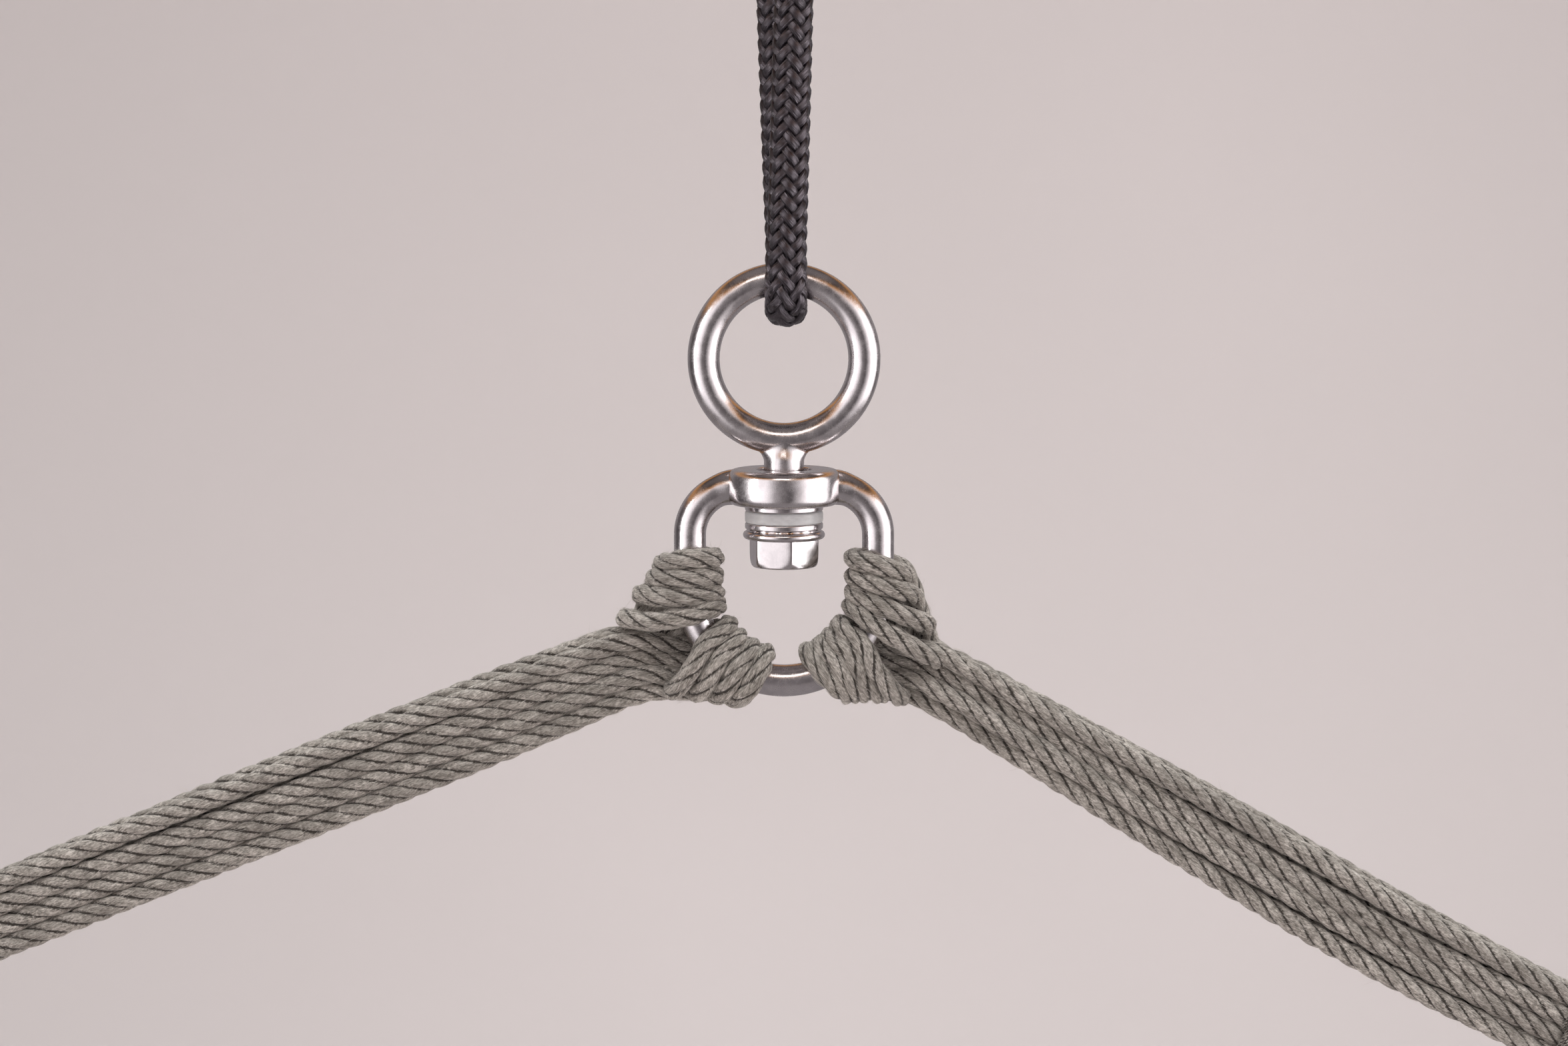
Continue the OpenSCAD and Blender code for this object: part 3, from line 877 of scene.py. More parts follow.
class SWING_OT_stage(Operator):
    """Build the pale floor that curves up into a wall, and the soft light"""

    bl_idname = "swing.stage"
    bl_label = "Stage"

    def execute(self, context):
        settings = context.scene.swing_stage
        floor_z, wall_r, sweep_r, wall_top = -2.3, 7.0, 2.5, 6.0
        centre = (wall_r - sweep_r, 0, floor_z + sweep_r)
        turn = arc(centre, sweep_r, -90, 0, 24)[:, [0, 2]]
        profile = np.vstack([[[0.001, floor_z]], turn, [[wall_r, wall_top]]])
        grid = lathe(profile[::-1], 96)
        rows, cols = grid.shape[:2]
        mesh = bpy.data.meshes.new("backdrop")
        faces = quads(rows, cols).tolist() + [[(rows - 1) * cols + j for j in range(cols)]]
        mesh.from_pydata(grid.reshape(-1, 3).tolist(), [], faces)
        mesh.shade_smooth()
        mesh.materials.append(backdrop_material("backdrop", tuple(settings.backdrop)))
        floor = bpy.data.objects.new("backdrop", mesh)
        floor.visible_glossy = False
        context.collection.objects.link(floor)
        studio_world()
        aim = (0, 0, BOSS_Z)
        power = settings.side_light
        soft_box("left_box", (-0.95, -0.45, BOSS_Z + 0.12), aim, 0.14, 0.8, power)
        soft_box("right_box", (1.0, -0.25, BOSS_Z + 0.12), aim, 0.14, 0.8, power)
        soft_box("front_box", (-0.1, -1.3, BOSS_Z + 1.0), aim, 0.9, 0.3, settings.front_light)
        context.scene.view_settings.view_transform = "Standard"
        return {"FINISHED"}


# ---------------------------------------------------------------- rope legs


def lobe(angle):
    """Share of the cord's radius at an angle from a strand's crest. Four soft round
    strands: broad crests, and a narrow seam between two."""
    s2 = np.sin(STRANDS / 2 * angle) ** 2
    return 1.065 - 0.125 * s2 - 0.14 * s2**8


def ripple(rng, angle, far, count, turns, waves, amplitude):
    """A sum of sine waves round and along a cord, with seeded turns and phases."""
    k = rng.integers(turns[0], turns[1], count)
    w = rng.uniform(-waves, waves, count)
    phase = rng.uniform(0, 2 * np.pi, count)
    total = sum(np.sin(a * angle + b * far + c) for a, b, c in zip(k, w, phase))
    return amplitude * total / math.sqrt(count)


def cord_line(side, k):
    """The even centre line of a leg cord, its frames and its lengths."""
    line = evenly(curve_through(cord_points(side, k)), LINE_STEP)
    return line, frames(line), lengths(line)


def laid_cord(line, t_n_b, far, radius, lay, seed, cols=40, swell=1.0):
    """Four strands laid right-handed: the section's lobes turn once in each lay, with
    fine ripples along the fibres. Columns follow the strands. Swell widens the cord,
    by one factor or one a row."""
    t, n, b = t_n_b
    rng = np.random.default_rng(seed)
    crest = all_round(cols)[None, :]
    angle = crest + 2 * np.pi * far[:, None] / lay + rng.uniform(0, 2 * np.pi)
    out = radius * lobe(crest + 0 * angle)
    out = out + ripple(rng, angle, far[:, None], 9, (5, 15), 300, 0.00005)
    out = out + ripple(rng, crest, far[:, None], 5, (1, 4), 500, 0.00007)
    x, y = out * np.cos(angle), out * np.sin(angle)
    wide = np.broadcast_to(swell, len(line))[:, None, None]
    place = line[:, None] + wide * (x[..., None] * n[:, None] + y[..., None] * b[:, None])
    shift = 0.05 * (seed % 97)
    lay_place = np.stack([x, y, far[:, None] + shift + 0 * x], axis=-1)
    return np.concatenate([place, lay_place], axis=-1)


def on_cord(data, radius, lay, turn0, far, angle, lift):
    """Places on a laid cord's surface, lifted off it, by length and angle."""
    line, (t, n, b), at = data
    index = far / at[-1] * (len(line) - 1)
    low = np.clip(index.astype(int), 0, len(line) - 2)
    f = (index - low)[..., None]
    centre = (1 - f) * line[low] + f * line[low + 1]
    normal = unit((1 - f) * n[low] + f * n[low + 1])
    side = unit((1 - f) * b[low] + f * b[low + 1])
    crest = angle - 2 * np.pi * far / lay - turn0
    out = radius * lobe(crest) + lift
    outward = np.cos(angle)[..., None] * normal + np.sin(angle)[..., None] * side
    return centre + out[..., None] * outward, outward


def hair_shells(path, thick):
    """Thin closed three-sided hairs along paths of (hairs, points, 3), tapering to a
    point: each ring is a small triangle square to the path."""
    count, rows, _ = path.shape
    t = unit(np.gradient(path, axis=1))
    axis = np.eye(3)[np.argmin(np.abs(t[:, :1]), axis=2)[:, 0]][:, None]
    n = square_to(axis, t)
    b = np.cross(t, n)
    a = np.radians([0, 120, 240])[None, None, :, None]
    size = thick[:, None, None, None] * np.linspace(1, 0.45, rows)[None, :, None, None]
    rings = path[:, :, None] + size * (np.cos(a) * n[:, :, None] + np.sin(a) * b[:, :, None])
    body = rings[:, :-1].reshape(count, -1, 3)
    points = np.concatenate([body, path[:, -1:]], axis=1)
    last = (rows - 2) * 3
    sides = quads(rows - 1, 3)
    ends = [[2, 1, 0]] + [[last + j, last + (j + 1) % 3, last + 3] for j in range(3)]
    lay = np.repeat(np.full((1, points.shape[1], 3), 0.0026), count, axis=0)
    lay = lay + np.arange(count)[:, None, None] * np.array([0, 0, 0.0007])
    return same_shells(np.concatenate([points, lay], axis=-1), [sides, np.array(ends)])


def loose_fibres(cords, radius, lay, seed, count):
    """Fibres on a leg's cords. Most lie along the cord just off its strands; the rest
    stand out and curl."""
    rng = np.random.default_rng(seed)
    shells = []
    each = count // len(cords)
    for data, turn0 in cords:
        length = data[2][-1]
        lying = int(each * 0.6)
        start = rng.uniform(0.01, length - 0.012, lying)
        run = np.linspace(0, 1, 5)[None, :] * rng.uniform(0.0025, 0.006, lying)[:, None]
        far = start[:, None] + run
        angle = rng.uniform(0, 2 * np.pi, lying)[:, None] + run * rng.normal(0, 90, lying)[:, None]
        rise = rng.uniform(0.00001, 0.00022, lying)[:, None]
        lift = rise * np.sin(np.linspace(0, np.pi, 5))[None, :] + 0.00002
        path, _ = on_cord(data, radius, lay, turn0, far, angle, lift)
        shells.append(hair_shells(path, rng.uniform(0.000025, 0.000046, lying)))
        flying = each - lying
        start = rng.uniform(0.004, length - 0.004, flying)
        angle = rng.uniform(0, 2 * np.pi, flying)
        root, outward = on_cord(data, radius, lay, turn0, start, angle, np.full(flying, -0.00015))
        index = np.clip((start / length * (len(data[0]) - 1)).astype(int), 0, len(data[0]) - 1)
        forward = data[1][0][index] * rng.choice([-1, 1], flying)[:, None]
        away = outward * rng.uniform(0.25, 1, flying)[:, None]
        lean = unit(away + forward + rng.normal(0, 0.35, (flying, 3)))
        curl = rng.normal(0, 0.5, (flying, 3))
        size = rng.gamma(2.0, 0.0008, flying).clip(0.0005, 0.0055)[:, None]
        f = np.linspace(0, 1, 4)[None, :, None]
        path = root[:, None] + size[:, None] * (f * lean[:, None] + f**2 * 0.45 * curl[:, None])
        shells.append(hair_shells(path, rng.uniform(0.00002, 0.000034, flying)))
    return together(shells)


def rope_finish(name, *tones):
    """A rope material, made once for each name."""
    return bpy.data.materials.get(name) or rope_material(name, *tones)


def leg_turn(seed):
    """The first random number of a cord's seed, which sets where its strands start."""
    return np.random.default_rng(seed).uniform(0, 2 * np.pi)


def build_leg(context, side, seed):
    """Four laid cords of one leg and the loose fibres on them."""
    settings = context.scene.swing_rope
    radius, lay = settings.diameter / 2, settings.lay
    low, middle, high, groove_shade = (
        tuple(c) for c in (settings.low, settings.middle, settings.high, settings.groove_shade)
    )
    cloth = rope_finish("rope_fibre", low, middle, high, radius, groove_shade)
    exit_row = LEG_ROWS[side][-3]
    cords = []
    for k in range(CORDS):
        line, t_n_b, far = cord_line(side, k)
        from_knot = np.abs(line - leg_axes(side)[0]) @ np.abs(leg_axes(side)[1])
        swell = 0.93 + 0.07 * ease(from_knot, 0.012, 0.030)
        grid = laid_cord(line, t_n_b, far, radius, lay, seed + k, swell=swell)
        cord = make_piece(f"{side}_cord_{k + 1}", tube(grid), cloth, 180)
        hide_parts(f"{side}_hitch_cord_{k + 1}", f"{side}_leg_cord_{k + 1}")
        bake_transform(cord)
        strand(side, exit_row, CORDS - 1 - k, 1)
        cords.append(((line, t_n_b, far), leg_turn(seed + k)))
    fibres = loose_fibres(cords, radius, lay, seed + 50, settings.fibres)
    pale = rope_finish("fibre_ends", middle, high, high, radius, middle)
    fuzz = make_piece(f"{side}_loose_fibres", fibres, pale, 180)
    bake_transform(fuzz)


class SWING_OT_left_leg(Operator):
    """Build the four cords of the left leg"""

    bl_idname = "swing.left_leg"
    bl_label = "Left Leg"

    def execute(self, context):
        build_leg(context, "left", 100)
        return {"FINISHED"}


class SWING_OT_right_leg(Operator):
    """Build the four cords of the right leg"""

    bl_idname = "swing.right_leg"
    bl_label = "Right Leg"

    def execute(self, context):
        build_leg(context, "right", 200)
        return {"FINISHED"}


# ---------------------------------------------------------------- sling


def top_place(degrees):
    """A place on the sling's bend over the ceiling eye."""
    a = math.radians(degrees)
    out = [math.cos(a) * math.sin(EYE_TURN), -math.cos(a) * math.cos(EYE_TURN), math.sin(a)]
    return np.array([0, 0, EYE_Z]) + TOP_BEND * np.array(out)


def low_place(degrees):
    """A place on the sling's bend through the swivel's ring."""
    a = math.radians(degrees)
    return np.array([LOW_X, -LOW_BEND * math.cos(a), RING_Z + RING_R + LOW_BEND * math.sin(a)])


def rear_at(z):
    """A place on the sling's rear strand at a height."""
    low, top = low_place(180), top_place(180)
    return low + (top - low) * (z - low[2]) / (top[2] - low[2])


def sling_points():
    """Waypoints of the sling: down the rear strand from the splice, round the ring, up
    the front strand, over the ceiling eye and down into the splice again."""
    middle = SPLICE_LOW + SPLICE_LONG / 2
    low, top = low_place(0), top_place(0)
    return (
        [rear_at(middle - 0.0002), rear_at(SPLICE_LOW - 0.015), rear_at(SPLICE_LOW - 0.040)]
        + [low_place(a) for a in range(180, 361, 30)]
        + [low + (top - low) * f for f in (0.25, 0.5, 0.75)]
        + [top_place(a) for a in range(0, 181, 30)]
        + [rear_at(middle + 0.0002)]
    )


def sling_frames(line):
    """Direction, side and depth of the sling. The side stays along the wire that the
    rope bends round, and turns from the ring's to the ceiling eye's on the way up."""
    t = along(line)
    low, top = RING_Z + RING_R, EYE_Z
    turn = EYE_TURN * ease(line[:, 2], low, top)
    wire = np.stack([np.cos(turn), np.sin(turn), 0 * turn], axis=1)
    side = square_to(wire, t)
    return t, side, np.cross(t, side)


def sling_squash(line):
    """Widening and thinning of the rope: round on the straights, flat at the bends."""
    low, top = RING_Z + RING_R, EYE_Z
    bent = 1 - ease(line[:, 2], low - 0.001, low + 0.010)
    bent = bent + ease(line[:, 2], top - 0.008, top + 0.002)
    return 1 + 0.08 * bent, 1 - 0.23 * bent


def braid_yarn(line, axes, squash, far, hand, slot, settings, cols=8):
    """One flat yarn of a two-over-two braid. It winds round the rope once in each
    pitch; its distance out swings by a soft square wave of cos(4 angle), so that
    yarns of the other hand pass over it in turn. Its section is a flat oval."""
    t, side, depth = axes
    wide, thin = squash
    pitch = settings.pitch
    middle = settings.diameter / 2 - YARN_SINK
    angle = hand * 2 * np.pi * far / pitch + 2 * np.pi * slot / YARNS
    if hand < 0:
        angle = angle + np.radians(22.5)
    wave = np.tanh(2.2 * np.cos(4 * angle)) / np.tanh(2.2)
    out = middle - hand * YARN_SWING * wave
    x, y = out * np.cos(angle), out * np.sin(angle)
    centre = line + (x * wide)[:, None] * side + (y * thin)[:, None] * depth
    radial = unit((np.cos(angle) / wide)[:, None] * side + (np.sin(angle) / thin)[:, None] * depth)
    yarn_t = along(centre)
    radial = square_to(radial, yarn_t)
    across = np.cross(yarn_t, radial)
    a = all_round(cols)[None, :]
    over = np.sign(np.cos(a)) * np.abs(np.cos(a)) ** 0.8 * settings.yarn_wide / 2
    up = np.sin(a) * settings.yarn_thick / 2
    place = centre[:, None] - over[..., None] * across[:, None] + up[..., None] * radial[:, None]
    yarn_far = lengths(centre)[:, None] + 0.4 * slot + (0.2 if hand > 0 else 0)
    lay = np.stack([over + 0 * yarn_far, up + 0 * yarn_far, yarn_far + 0 * over], axis=-1)
    return np.concatenate([place, lay], axis=-1)


class SWING_OT_sling(Operator):
    """Build the braided sling that hangs from the ceiling eye"""

    bl_idname = "swing.sling"
    bl_label = "Sling"

    def execute(self, context):
        settings = context.scene.swing_sling
        line = evenly(curve_through(sling_points()), 0.00085)
        axes, squash, far = sling_frames(line), sling_squash(line), lengths(line)
        shells = [
            tube(braid_yarn(line, axes, squash, far, hand, slot, settings))
            for hand in (1, -1)
            for slot in range(YARNS)
        ]
        t, side, depth = axes
        a = all_round(20)[None, :]
        core_r = settings.diameter / 2 - CORE_SINK
        x, y = core_r * np.cos(a) * squash[0][:, None], core_r * np.sin(a) * squash[1][:, None]
        core = line[:, None] + x[..., None] * side[:, None] + y[..., None] * depth[:, None]
        lay = np.stack([x, y, far[:, None] + 0 * x], axis=-1)
        shells.append(tube(np.concatenate([core, lay], axis=-1)[::2]))
        yarn = braid_material("braid_filament", tuple(settings.low), tuple(settings.high))
        sling = make_piece("sling", together(shells), yarn, 180)
        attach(sling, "sling")
        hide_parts("sling_rope")
        return {"FINISHED"}


def twine_coil(outline, axes, start, long, twine_r, per_turn):
    """Twine wound side by side: outline points (w, h) carried along the axis by one
    twine's width each turn, over a length. The two ends dive a little inwards."""
    origin, way, across, up = axes
    count = len(outline)
    turns = int(long / (2 * twine_r * 0.97)) - 1
    steps = turns * per_turn
    f = np.arange(steps + 1) / per_turn
    index = f * count
    low = np.floor(index).astype(int)
    share = (index - low)[:, None]
    ring = np.asarray(outline)
    flat = (1 - share) * ring[low % count] + share * ring[(low + 1) % count]
    dive = 1 - 0.10 * (1 - ease(f, 0, 0.2)) - 0.10 * ease(f, turns - 0.2, turns)
    flat = flat * dive[:, None]
    along_axis = start + twine_r + f / turns * (long - 2 * twine_r)
    return origin + along_axis[:, None] * way + flat[:, :1] * across + flat[:, 1:] * up


def twisted_twine(line, radius, lay, seed, cols=16):
    """A fine twine along a line, in the manner of the laid cord."""
    return laid_cord(line, frames(line), lengths(line), radius, lay, seed, cols)


class SWING_OT_splice(Operator):
    """Build the twine binding where the sling's two ends meet"""

    bl_idname = "swing.splice"
    bl_label = "Splice"

    def execute(self, context):
        low, top = rear_at(SPLICE_LOW), rear_at(SPLICE_LOW + SPLICE_LONG)
        way = unit(top - low)
        across = unit(np.cross(BACK, way))
        axes = (low, way, across, np.cross(way, across))
        a = all_round(64)
        outline = 0.0058 * np.stack([np.cos(a), np.sin(a)], axis=1)
        line = twine_coil(outline, axes, 0, SPLICE_LONG, 0.0006, 40)
        grid = twisted_twine(line, SPLICE_TWINE_R, 0.004, 31)
        settings = context.scene.swing_sling
        yarn = braid_material("twine_filament", tuple(settings.low), tuple(settings.high))
        splice = make_piece("sling_binding", tube(grid), yarn, 180)
        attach(splice, "sling")
        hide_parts("sling_splice")
        return {"FINISHED"}


class SWING_OT_whippings(Operator):
    """Bind each leg near its seat ring with twine"""

    bl_idname = "swing.whippings"
    bl_label = "Whippings"

    def execute(self, context):
        settings = context.scene.swing_rope
        shades = [tuple(0.8 * c for c in tone) for tone in (settings.low, settings.middle)]
        high = tuple(0.75 * c for c in settings.high)
        # The twine's seams get the same painted groove shade as the cords.
        twine = rope_material("twine_fibre", *shades, high, 0.0006, tuple(settings.groove_shade))
        for seed, side in enumerate(("left", "right")):
            knot, way, up = leg_axes(side)
            axes = (knot, way, BACK * -SIGN[side], up)
            outline = round_box(0.0063, 0.0115, 0.0034, 96)
            start = REACH[side] - WHIP_BACK
            line = twine_coil(outline, axes, start, WHIP_LONG, 0.00062, 72)
            grid = twisted_twine(line, WHIP_TWINE_R, 0.0042, 41 + seed)
            coil = make_piece(f"{side}_binding", tube(grid), twine, 180)
            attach(coil, f"{side}_leg")
            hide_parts(f"{side}_whipping")
        return {"FINISHED"}


# ---------------------------------------------------------------- steel


def steel(context, name="polished_steel", wear=0.0):
    """The stainless finish, made once for each name."""
    settings = context.scene.swing_steel
    low = settings.polish + wear
    return bpy.data.materials.get(name) or steel_material(
        name, tuple(settings.colour), low, low + 0.14, 0.22
    )


def ring_bottom(x, y):
    """Height of the ring's outer underside over (x, y): a torus solved for z."""
    out = RING_R + np.sqrt(np.clip(WIRE_R**2 - y**2, 0, None))
    return RING_Z - np.sqrt(out**2 - x**2)


def neck_grid(cols=64, steps=14):
    """Shank and fillet. The shank is a cylinder; the fillet is a cubic Hermite from
    its upright wall to a long oval on the ring, tangent to both."""
    a = all_round(cols)
    c, s = np.cos(a), np.sin(a)
    foot = BOSS_Z + 0.0019

    def ring_place(share, sink=0.0):
        x, y = share * 0.0064 * c, share * 0.00393 * s
        return np.stack([x, y, ring_bottom(x, y) + sink], axis=1)

    def shank_row(radius, z):
        return np.stack([radius * c, radius * s, z + 0 * a], axis=1)

    start, end = shank_row(SHANK_R, foot), ring_place(1)
    pull = 0.7 * np.linalg.norm(end - start, axis=1, keepdims=True)
    go_up = UP * pull
    go_out = unit(end - ring_place(0.97)) * pull
    f = np.linspace(0, 1, steps)[:, None, None]
    fillet = hermite(f, start, go_up, end, go_out)
    low = EYE_LOW.z
    shank = [shank_row(SHANK_R - 0.0008, low), shank_row(SHANK_R, low + 0.0008)]
    deep = [ring_place(1.003, 0.0002), ring_place(0.6, 0.0025)]
    return np.stack(shank + list(fillet) + deep)


class SWING_OT_swivel_eye(Operator):
    """Build the swivel's ring and shank"""

    bl_idname = "swing.swivel_eye"
    bl_label = "Swivel Eye"

    def execute(self, context):
        a = all_round(144)
        line = np.stack([RING_R * np.cos(a), 0 * a, RING_Z + RING_R * np.sin(a)], axis=1)
        out = unit(line - RING_Z * UP)
        back = np.broadcast_to(BACK, line.shape)
        t = np.cross(out, back)
        grid = sweep(line, WIRE_R, 48, (t, out, back))
        ring = hoop(grid[::-1])
        shell = together([ring, tube(neck_grid())])
        eye = make_piece("ring_and_shank", shell, steel(context))
        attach(eye, "eye")
        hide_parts("swivel_eye")
        return {"FINISHED"}


def bow_line():
    """Centre line of the bow: out of the boss, round the left corner, down the limb,
    round the bottom and up again."""
    top = BOSS_Z - BOSS_H / 2
    inner = 0.0088
    limb_top = top - BOW_CORNER_R
    corner_x = BOW_R - BOW_CORNER_R
    return np.vstack(
        [
            [[-inner, 0, top]],
            arc((-corner_x, 0, limb_top), BOW_CORNER_R, 90, 180, 40),
            arc((0, 0, ARC_Z), BOW_R, 180, 360, 90),
            arc((corner_x, 0, limb_top), BOW_CORNER_R, 0, 90, 40),
            [[inner, 0, top]],
        ]
    )


def boss_profile():
    """Section of the boss: round rims outside, a countersunk bore inside."""
    low, high, rim = BOSS_Z - BOSS_H, BOSS_Z, 0.0026
    corners = [
        (BORE_R, low),
        (BOSS_R, low),
        (BOSS_R, high),
        (SINK_R, high),
        (SINK_R, high - 0.0026),
        (BORE_R, high - 0.003),
    ]
    return rounded(corners, [0.0005, rim, rim, 0.0004, 0.0003, 0.0003], 9)


class SWING_OT_swivel_bow(Operator):
    """Build the bow that the rope legs are hitched on, and its boss"""

    bl_idname = "swing.swivel_bow"
    bl_label = "Swivel Bow"

    def execute(self, context):
        line = evenly(bow_line(), 0.0007)
        from_axis = np.hypot(line[:, 0], line[:, 1])
        near = 1 - ease(from_axis, BOSS_R - 0.0012, BOSS_R + 0.0030)
        near = near * (line[:, 2] > BOSS_Z - 0.02)
        radius = WIRE_R + 0.00042 * near
        shells = [tube(sweep(line, radius, 48)), hoop(lathe(boss_profile(), 144))]
        bow = make_piece("bow_and_boss", together(shells), steel(context))
        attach(bow, "bow")
        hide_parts("swivel_bow")
        return {"FINISHED"}


def washer(low, high, inner, outer, edges, steps, cols):
    """A flat washer whose four edges, from the low inner one on, are rounded."""
    corners = [(inner, low), (outer, low), (outer, high), (inner, high)]
    return hoop(lathe(rounded(corners, edges, steps), cols))


def cut(piece, cutter):
    """Takes the cutter's shape out of the piece for good."""
    change = piece.modifiers.new("cut", "BOOLEAN")
    change.operation = "DIFFERENCE"
    change.solver = "EXACT"
    change.object = cutter
    scene_state = bpy.context.evaluated_depsgraph_get()
    made = bpy.data.meshes.new_from_object(piece.evaluated_get(scene_state))
    piece.modifiers.clear()
    piece.data = made
    bpy.data.objects.remove(cutter)
    made.shade_smooth()
    made.set_sharp_from_angle(angle=math.radians(35))


def drill(places, radius, low, high, material, cols=40):
    """A cutter of upright cylinders."""
    shells = []
    for x, y in places:
        grid = lathe([(radius, low), (radius, high)], cols) + np.array([x, y, 0])
        shells.append(tube(grid))
    return make_piece("cutter", together(shells), material)


class SWING_OT_bearing(Operator):
    """Build the thrust bearing: two races, a nylon cage and its balls"""

    bl_idname = "swing.bearing"
    bl_label = "Bearing"

    def execute(self, context):
        bright = steel(context, "ground_steel", -0.04)
        outer = RACE_HIGH.x
        races = {
            "upper": (RACE_LOW.z, RACE_HIGH.z, BORE_R + 0.00005, "bow"),
            "lower": (LOWER_LOW.z, LOWER_HIGH.z, SHANK_R, "eye"),
        }
        for which, (low, high, inner, body) in races.items():
            edge = min(0.0004, 0.3 * (high - low))
            shell = washer(low, high, inner, outer, [edge] * 4, 5, 120)
            race = make_piece(f"{which}_bearing_race", shell, bright)
            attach(race, body)
            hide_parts(f"{which}_race")
        low, high = CAGE_LOW.z, CAGE_HIGH.z
        inner, rim = SHANK_R + CAGE_GAP, 0.0007
        shell = washer(low, high, inner, outer, [0.0003, rim, rim, 0.0003], 6, 160)
        nylon = nylon_material("milky_nylon", (0.94, 0.965, 0.965))
        cage = make_piece("nylon_cage", shell, nylon)
        a = 2 * np.pi * np.arange(1, BALLS + 1) / BALLS
        places = np.stack([BALL_RING_R * np.cos(a), BALL_RING_R * np.sin(a)], axis=1)
        cut(cage, drill(places, BALL_R + 0.00008, low - 0.001, high + 0.001, nylon))
        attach(cage, "cage")
        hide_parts("ball_cage")
        half = np.radians(np.linspace(-86, 86, 15))
        profile = np.stack([BALL_R * np.cos(half), BALL_R * np.sin(half)], axis=1)
        middle = (low + high) / 2
        shells = [
            tube(lathe(profile, 24) + np.array([x, y, middle])) for x, y in places
        ]
        balls = make_piece("steel_balls", together(shells), bright)
        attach(balls, "cage")
        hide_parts("bearing_balls")
        return {"FINISHED"}


def nut_grid(cols=240):
    """Flange nut. The lower rows' radius is the smooth least of a hexagon's and a
    rounded chamfer's; the top face carries twenty shallow teeth."""
    a = all_round(cols)
    from_flat = np.mod(a - math.radians(NUT_TURN), math.radians(60)) - math.radians(30)
    hexagon = HEX_HALF / np.cos(from_flat)
    low, high = NUT_LOW.z, NUT_HIGH.z
    flange_low = low + HEX_H
    rows = []

    def row(radius, z):
        rows.append(np.stack([radius * np.cos(a), radius * np.sin(a), z + 0 * a], axis=1))

    def soft_least(first, second, power=26):
        return (first**-power + np.asarray(second, float) ** -power) ** (-1 / power)

    row(SHANK_R, low + 0.0003)
    row(SHANK_R + 0.0003, low)
    row(0.0066, low)
    for up, chamfer in ((0, 0.0072), (0.00012, 0.0078), (0.0004, 0.0083), (0.0009, 0.0087),
                        (0.0016, 0.0090), (0.0026, 0.0092), (0.0040, 0.0093), (HEX_H, 0.0093)):
        row(soft_least(hexagon, chamfer), low + up)
    row(0.0094, flange_low)
    rim = FLANGE_T / 2
    for angle in np.radians(np.linspace(-90, 90, 13)):
        row(NUT_HIGH.x - rim + rim * math.cos(angle), flange_low + rim * (1 + math.sin(angle)))
    teeth = np.clip(1.6 * np.abs(np.mod(a * NUT_TEETH / (2 * np.pi), 1) * 2 - 1), 0, 1)
    base = flange_low + FLANGE_T
    row(NUT_HIGH.x - 0.00085, base)
    teeth = base + (high - base) * (0.55 + 0.45 * teeth)
    row(NUT_HIGH.x - 0.0010, teeth)
    row(0.0062, teeth)
    row(0.0060, base + 0.0001)
    row(SHANK_R, base + 0.0001)
    return np.stack(rows)


class SWING_OT_nut(Operator):
    """Build the serrated flange nut"""

    bl_idname = "swing.nut"
    bl_label = "Flange Nut"

    def execute(self, context):
        bright = steel(context, "ground_steel", -0.04)
        nut = make_piece("serrated_nut", hoop(nut_grid()), bright, 30)
        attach(nut, "eye")
        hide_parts("flange_nut")
        return {"FINISHED"}


class SWING_OT_seat_rings(Operator):
    """Build the rings that a seat hangs from, at the ends of the legs"""

    bl_idname = "swing.seat_rings"
    bl_label = "Seat Rings"

    def execute(self, context):
        outline = round_box(SEAT_DEEP / 2, SEAT_HALF, SEAT_CORNER, 240)
        for side in ("left", "right"):
            knot, way, up = leg_axes(side)
            middle = knot + (REACH[side] + SEAT_DEEP / 2) * way
            line = middle + outline[:, :1] * way + outline[:, 1:] * up
            back = np.broadcast_to(BACK, line.shape)
            ahead = unit(np.roll(line, -1, axis=0) - np.roll(line, 1, axis=0))
            out = np.cross(back, ahead)
            weld = np.exp(-((outline[:, 1] / 0.0011) ** 2)) * (outline[:, 0] > 0)
            radius = SEAT_WIRE_R + 0.00035 * weld
            grid = sweep(line, radius, 28, (ahead, out, back))
            if np.dot(np.cross(out[0], back[0]), ahead[0]) < 0:
                grid = grid[:, ::-1]
            ring = make_piece(f"{side}_ring", hoop(grid), steel(context))
            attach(ring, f"{side}_ring")
            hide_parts(f"{side}_seat_ring")
        return {"FINISHED"}


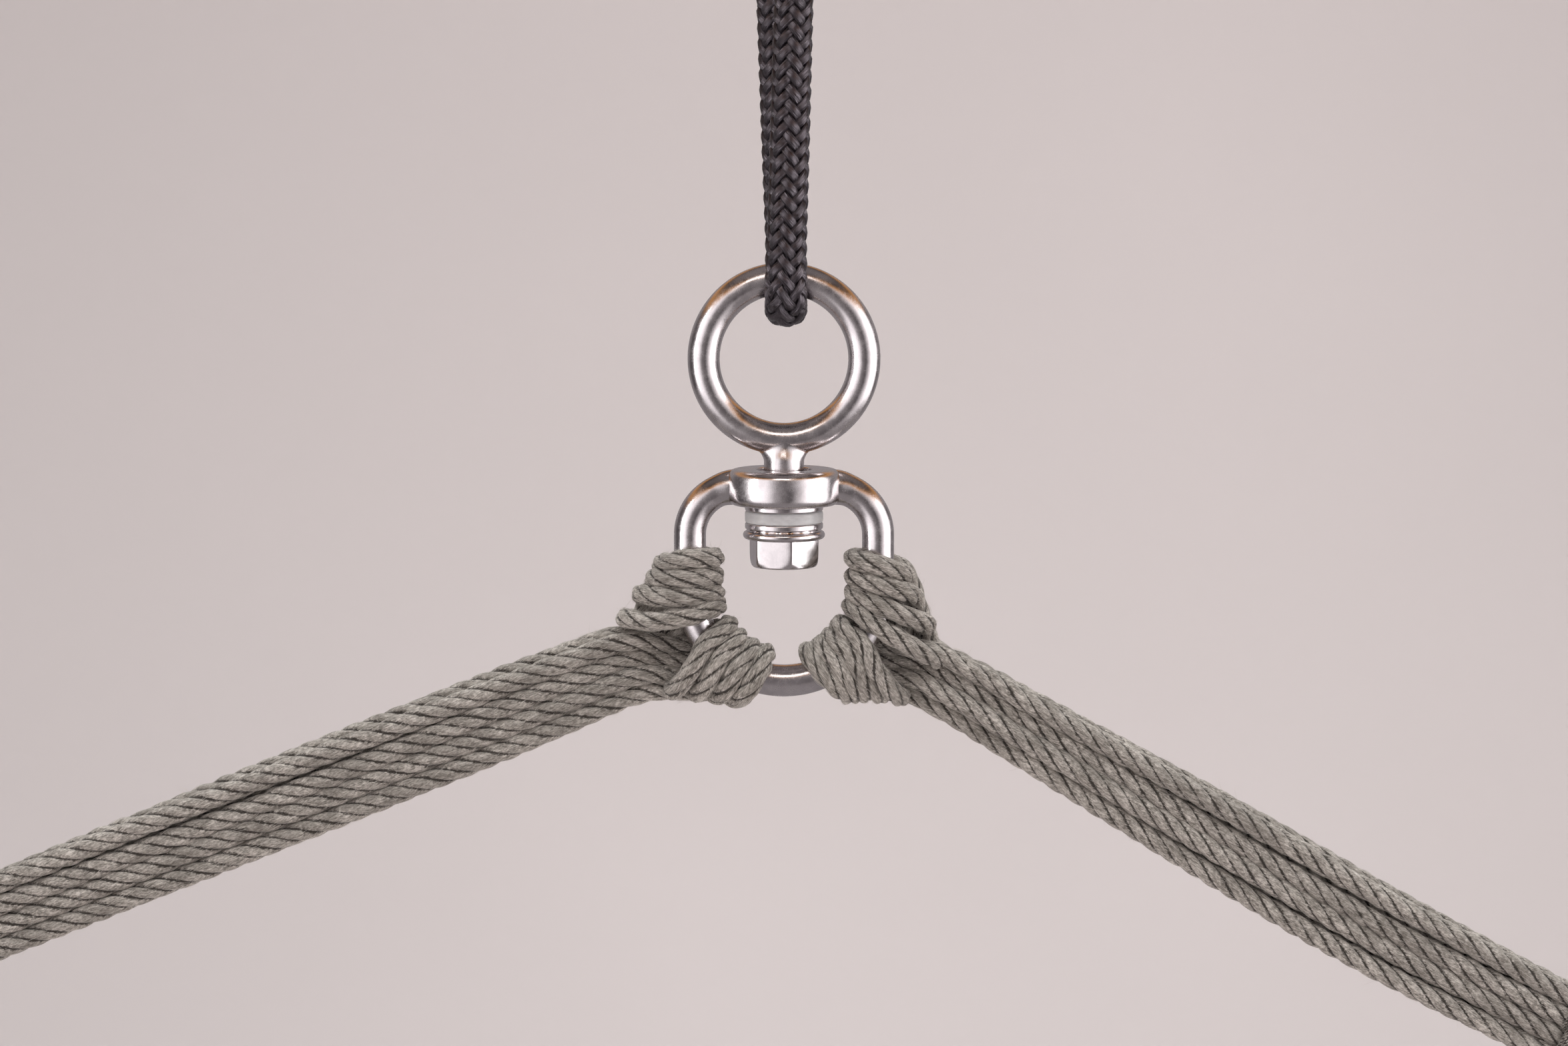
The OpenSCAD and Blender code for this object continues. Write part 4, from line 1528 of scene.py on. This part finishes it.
class SWING_OT_ceiling_plate(Operator):
    """Build the ceiling plate and its welded eye"""

    bl_idname = "swing.ceiling_plate"
    bl_label = "Ceiling Plate"

    def execute(self, context):
        bright = steel(context)
        half, rim = PLATE_HIGH.x, 0.0011
        low, high = PLATE_HIGH.z - PLATE_T, PLATE_HIGH.z
        rows = []
        for inset, z in ((rim, low), (0.3 * rim, low + 0.3 * rim), (0, low + rim),
                         (0, high - 0.4 * rim), (0.4 * rim, high)):
            outline = round_box(half - inset, half - inset, 0.008 - inset, 160)
            rows.append(np.column_stack([outline, np.full(len(outline), z)]))
        plate = make_piece("ceiling_plate", tube(np.stack(rows)), bright)
        places = [(x * HOLE_PITCH / 2, y * HOLE_PITCH / 2) for x in (-1, 1) for y in (-1, 1)]
        cut(plate, drill(places, HOLE_R, low - 0.002, high + 0.002, bright))
        across = np.array([math.cos(EYE_TURN), math.sin(EYE_TURN), 0])
        eye = arc((0, 0, low), EYE_R, 180, 360, 80, across=across)
        lead = across * EYE_R
        line = np.vstack([eye[:1] + [[0, 0, 0.002]], eye, eye[-1:] + [[0, 0, 0.002]]])
        shells = [tube(sweep(evenly(line, 0.0008), EYE_WIRE_R, 48))]
        f = np.linspace(0, 1, 8)
        spread = EYE_WIRE_R + 0.0030 * (1 - np.sqrt(1 - f**2))
        flare = np.stack([spread, low - 0.0022 + 0.0026 * f], axis=1)
        for sign in (-1, 1):
            weld = lathe(np.vstack([[[0.003, low - 0.0022]], flare, [[0.003, low + 0.0006]]]), 64)
            wave = 1 + 0.02 * np.sin(np.arctan2(weld[..., 1], weld[..., 0]) * 16)
            weld[..., :2] *= wave[..., None]
            shells.append(tube(weld + sign * lead))
        loop = make_piece("ceiling_eye", together(shells), bright)
        for piece in (plate, loop):
            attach(piece, "ceiling")
            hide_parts("ceiling_eye_plate")
        return {"FINISHED"}


# ---------------------------------------------------------------- panel and main

OPERATORS = (
    SWING_OT_camera,
    SWING_OT_left_leg,
    SWING_OT_right_leg,
    SWING_OT_sling,
    SWING_OT_stage,
    SWING_OT_swivel_eye,
    SWING_OT_swivel_bow,
    SWING_OT_bearing,
    SWING_OT_nut,
    SWING_OT_splice,
    SWING_OT_whippings,
    SWING_OT_seat_rings,
    SWING_OT_ceiling_plate,
)
SETTINGS = {
    "swing_rope": SwingRopeSettings,
    "swing_sling": SwingSlingSettings,
    "swing_steel": SwingSteelSettings,
    "swing_stage": SwingStageSettings,
}


class SWING_PT_panel(Panel):
    """The hanger's pieces and settings"""

    bl_label = "Swing Hanger"
    bl_idname = "SWING_PT_panel"
    bl_space_type = "VIEW_3D"
    bl_region_type = "UI"
    bl_category = "Swing Hanger"

    def draw(self, context):
        for name, group in SETTINGS.items():
            box = self.layout.box()
            for field in group.__annotations__:
                box.prop(getattr(context.scene, name), field)
        for operator in OPERATORS:
            self.layout.operator(operator.bl_idname)


def register():
    for made in (*SETTINGS.values(), *OPERATORS, SWING_PT_panel):
        bpy.utils.register_class(made)
    for name, group in SETTINGS.items():
        setattr(bpy.types.Scene, name, PointerProperty(type=group))


def unregister():
    for name in SETTINGS:
        delattr(bpy.types.Scene, name)
    for made in reversed((*SETTINGS.values(), *OPERATORS, SWING_PT_panel)):
        bpy.utils.unregister_class(made)


def main():
    register()
    for operator in OPERATORS:
        group, name = operator.bl_idname.split(".")
        getattr(getattr(bpy.ops, group), name)()


if __name__ == "__main__":
    main()
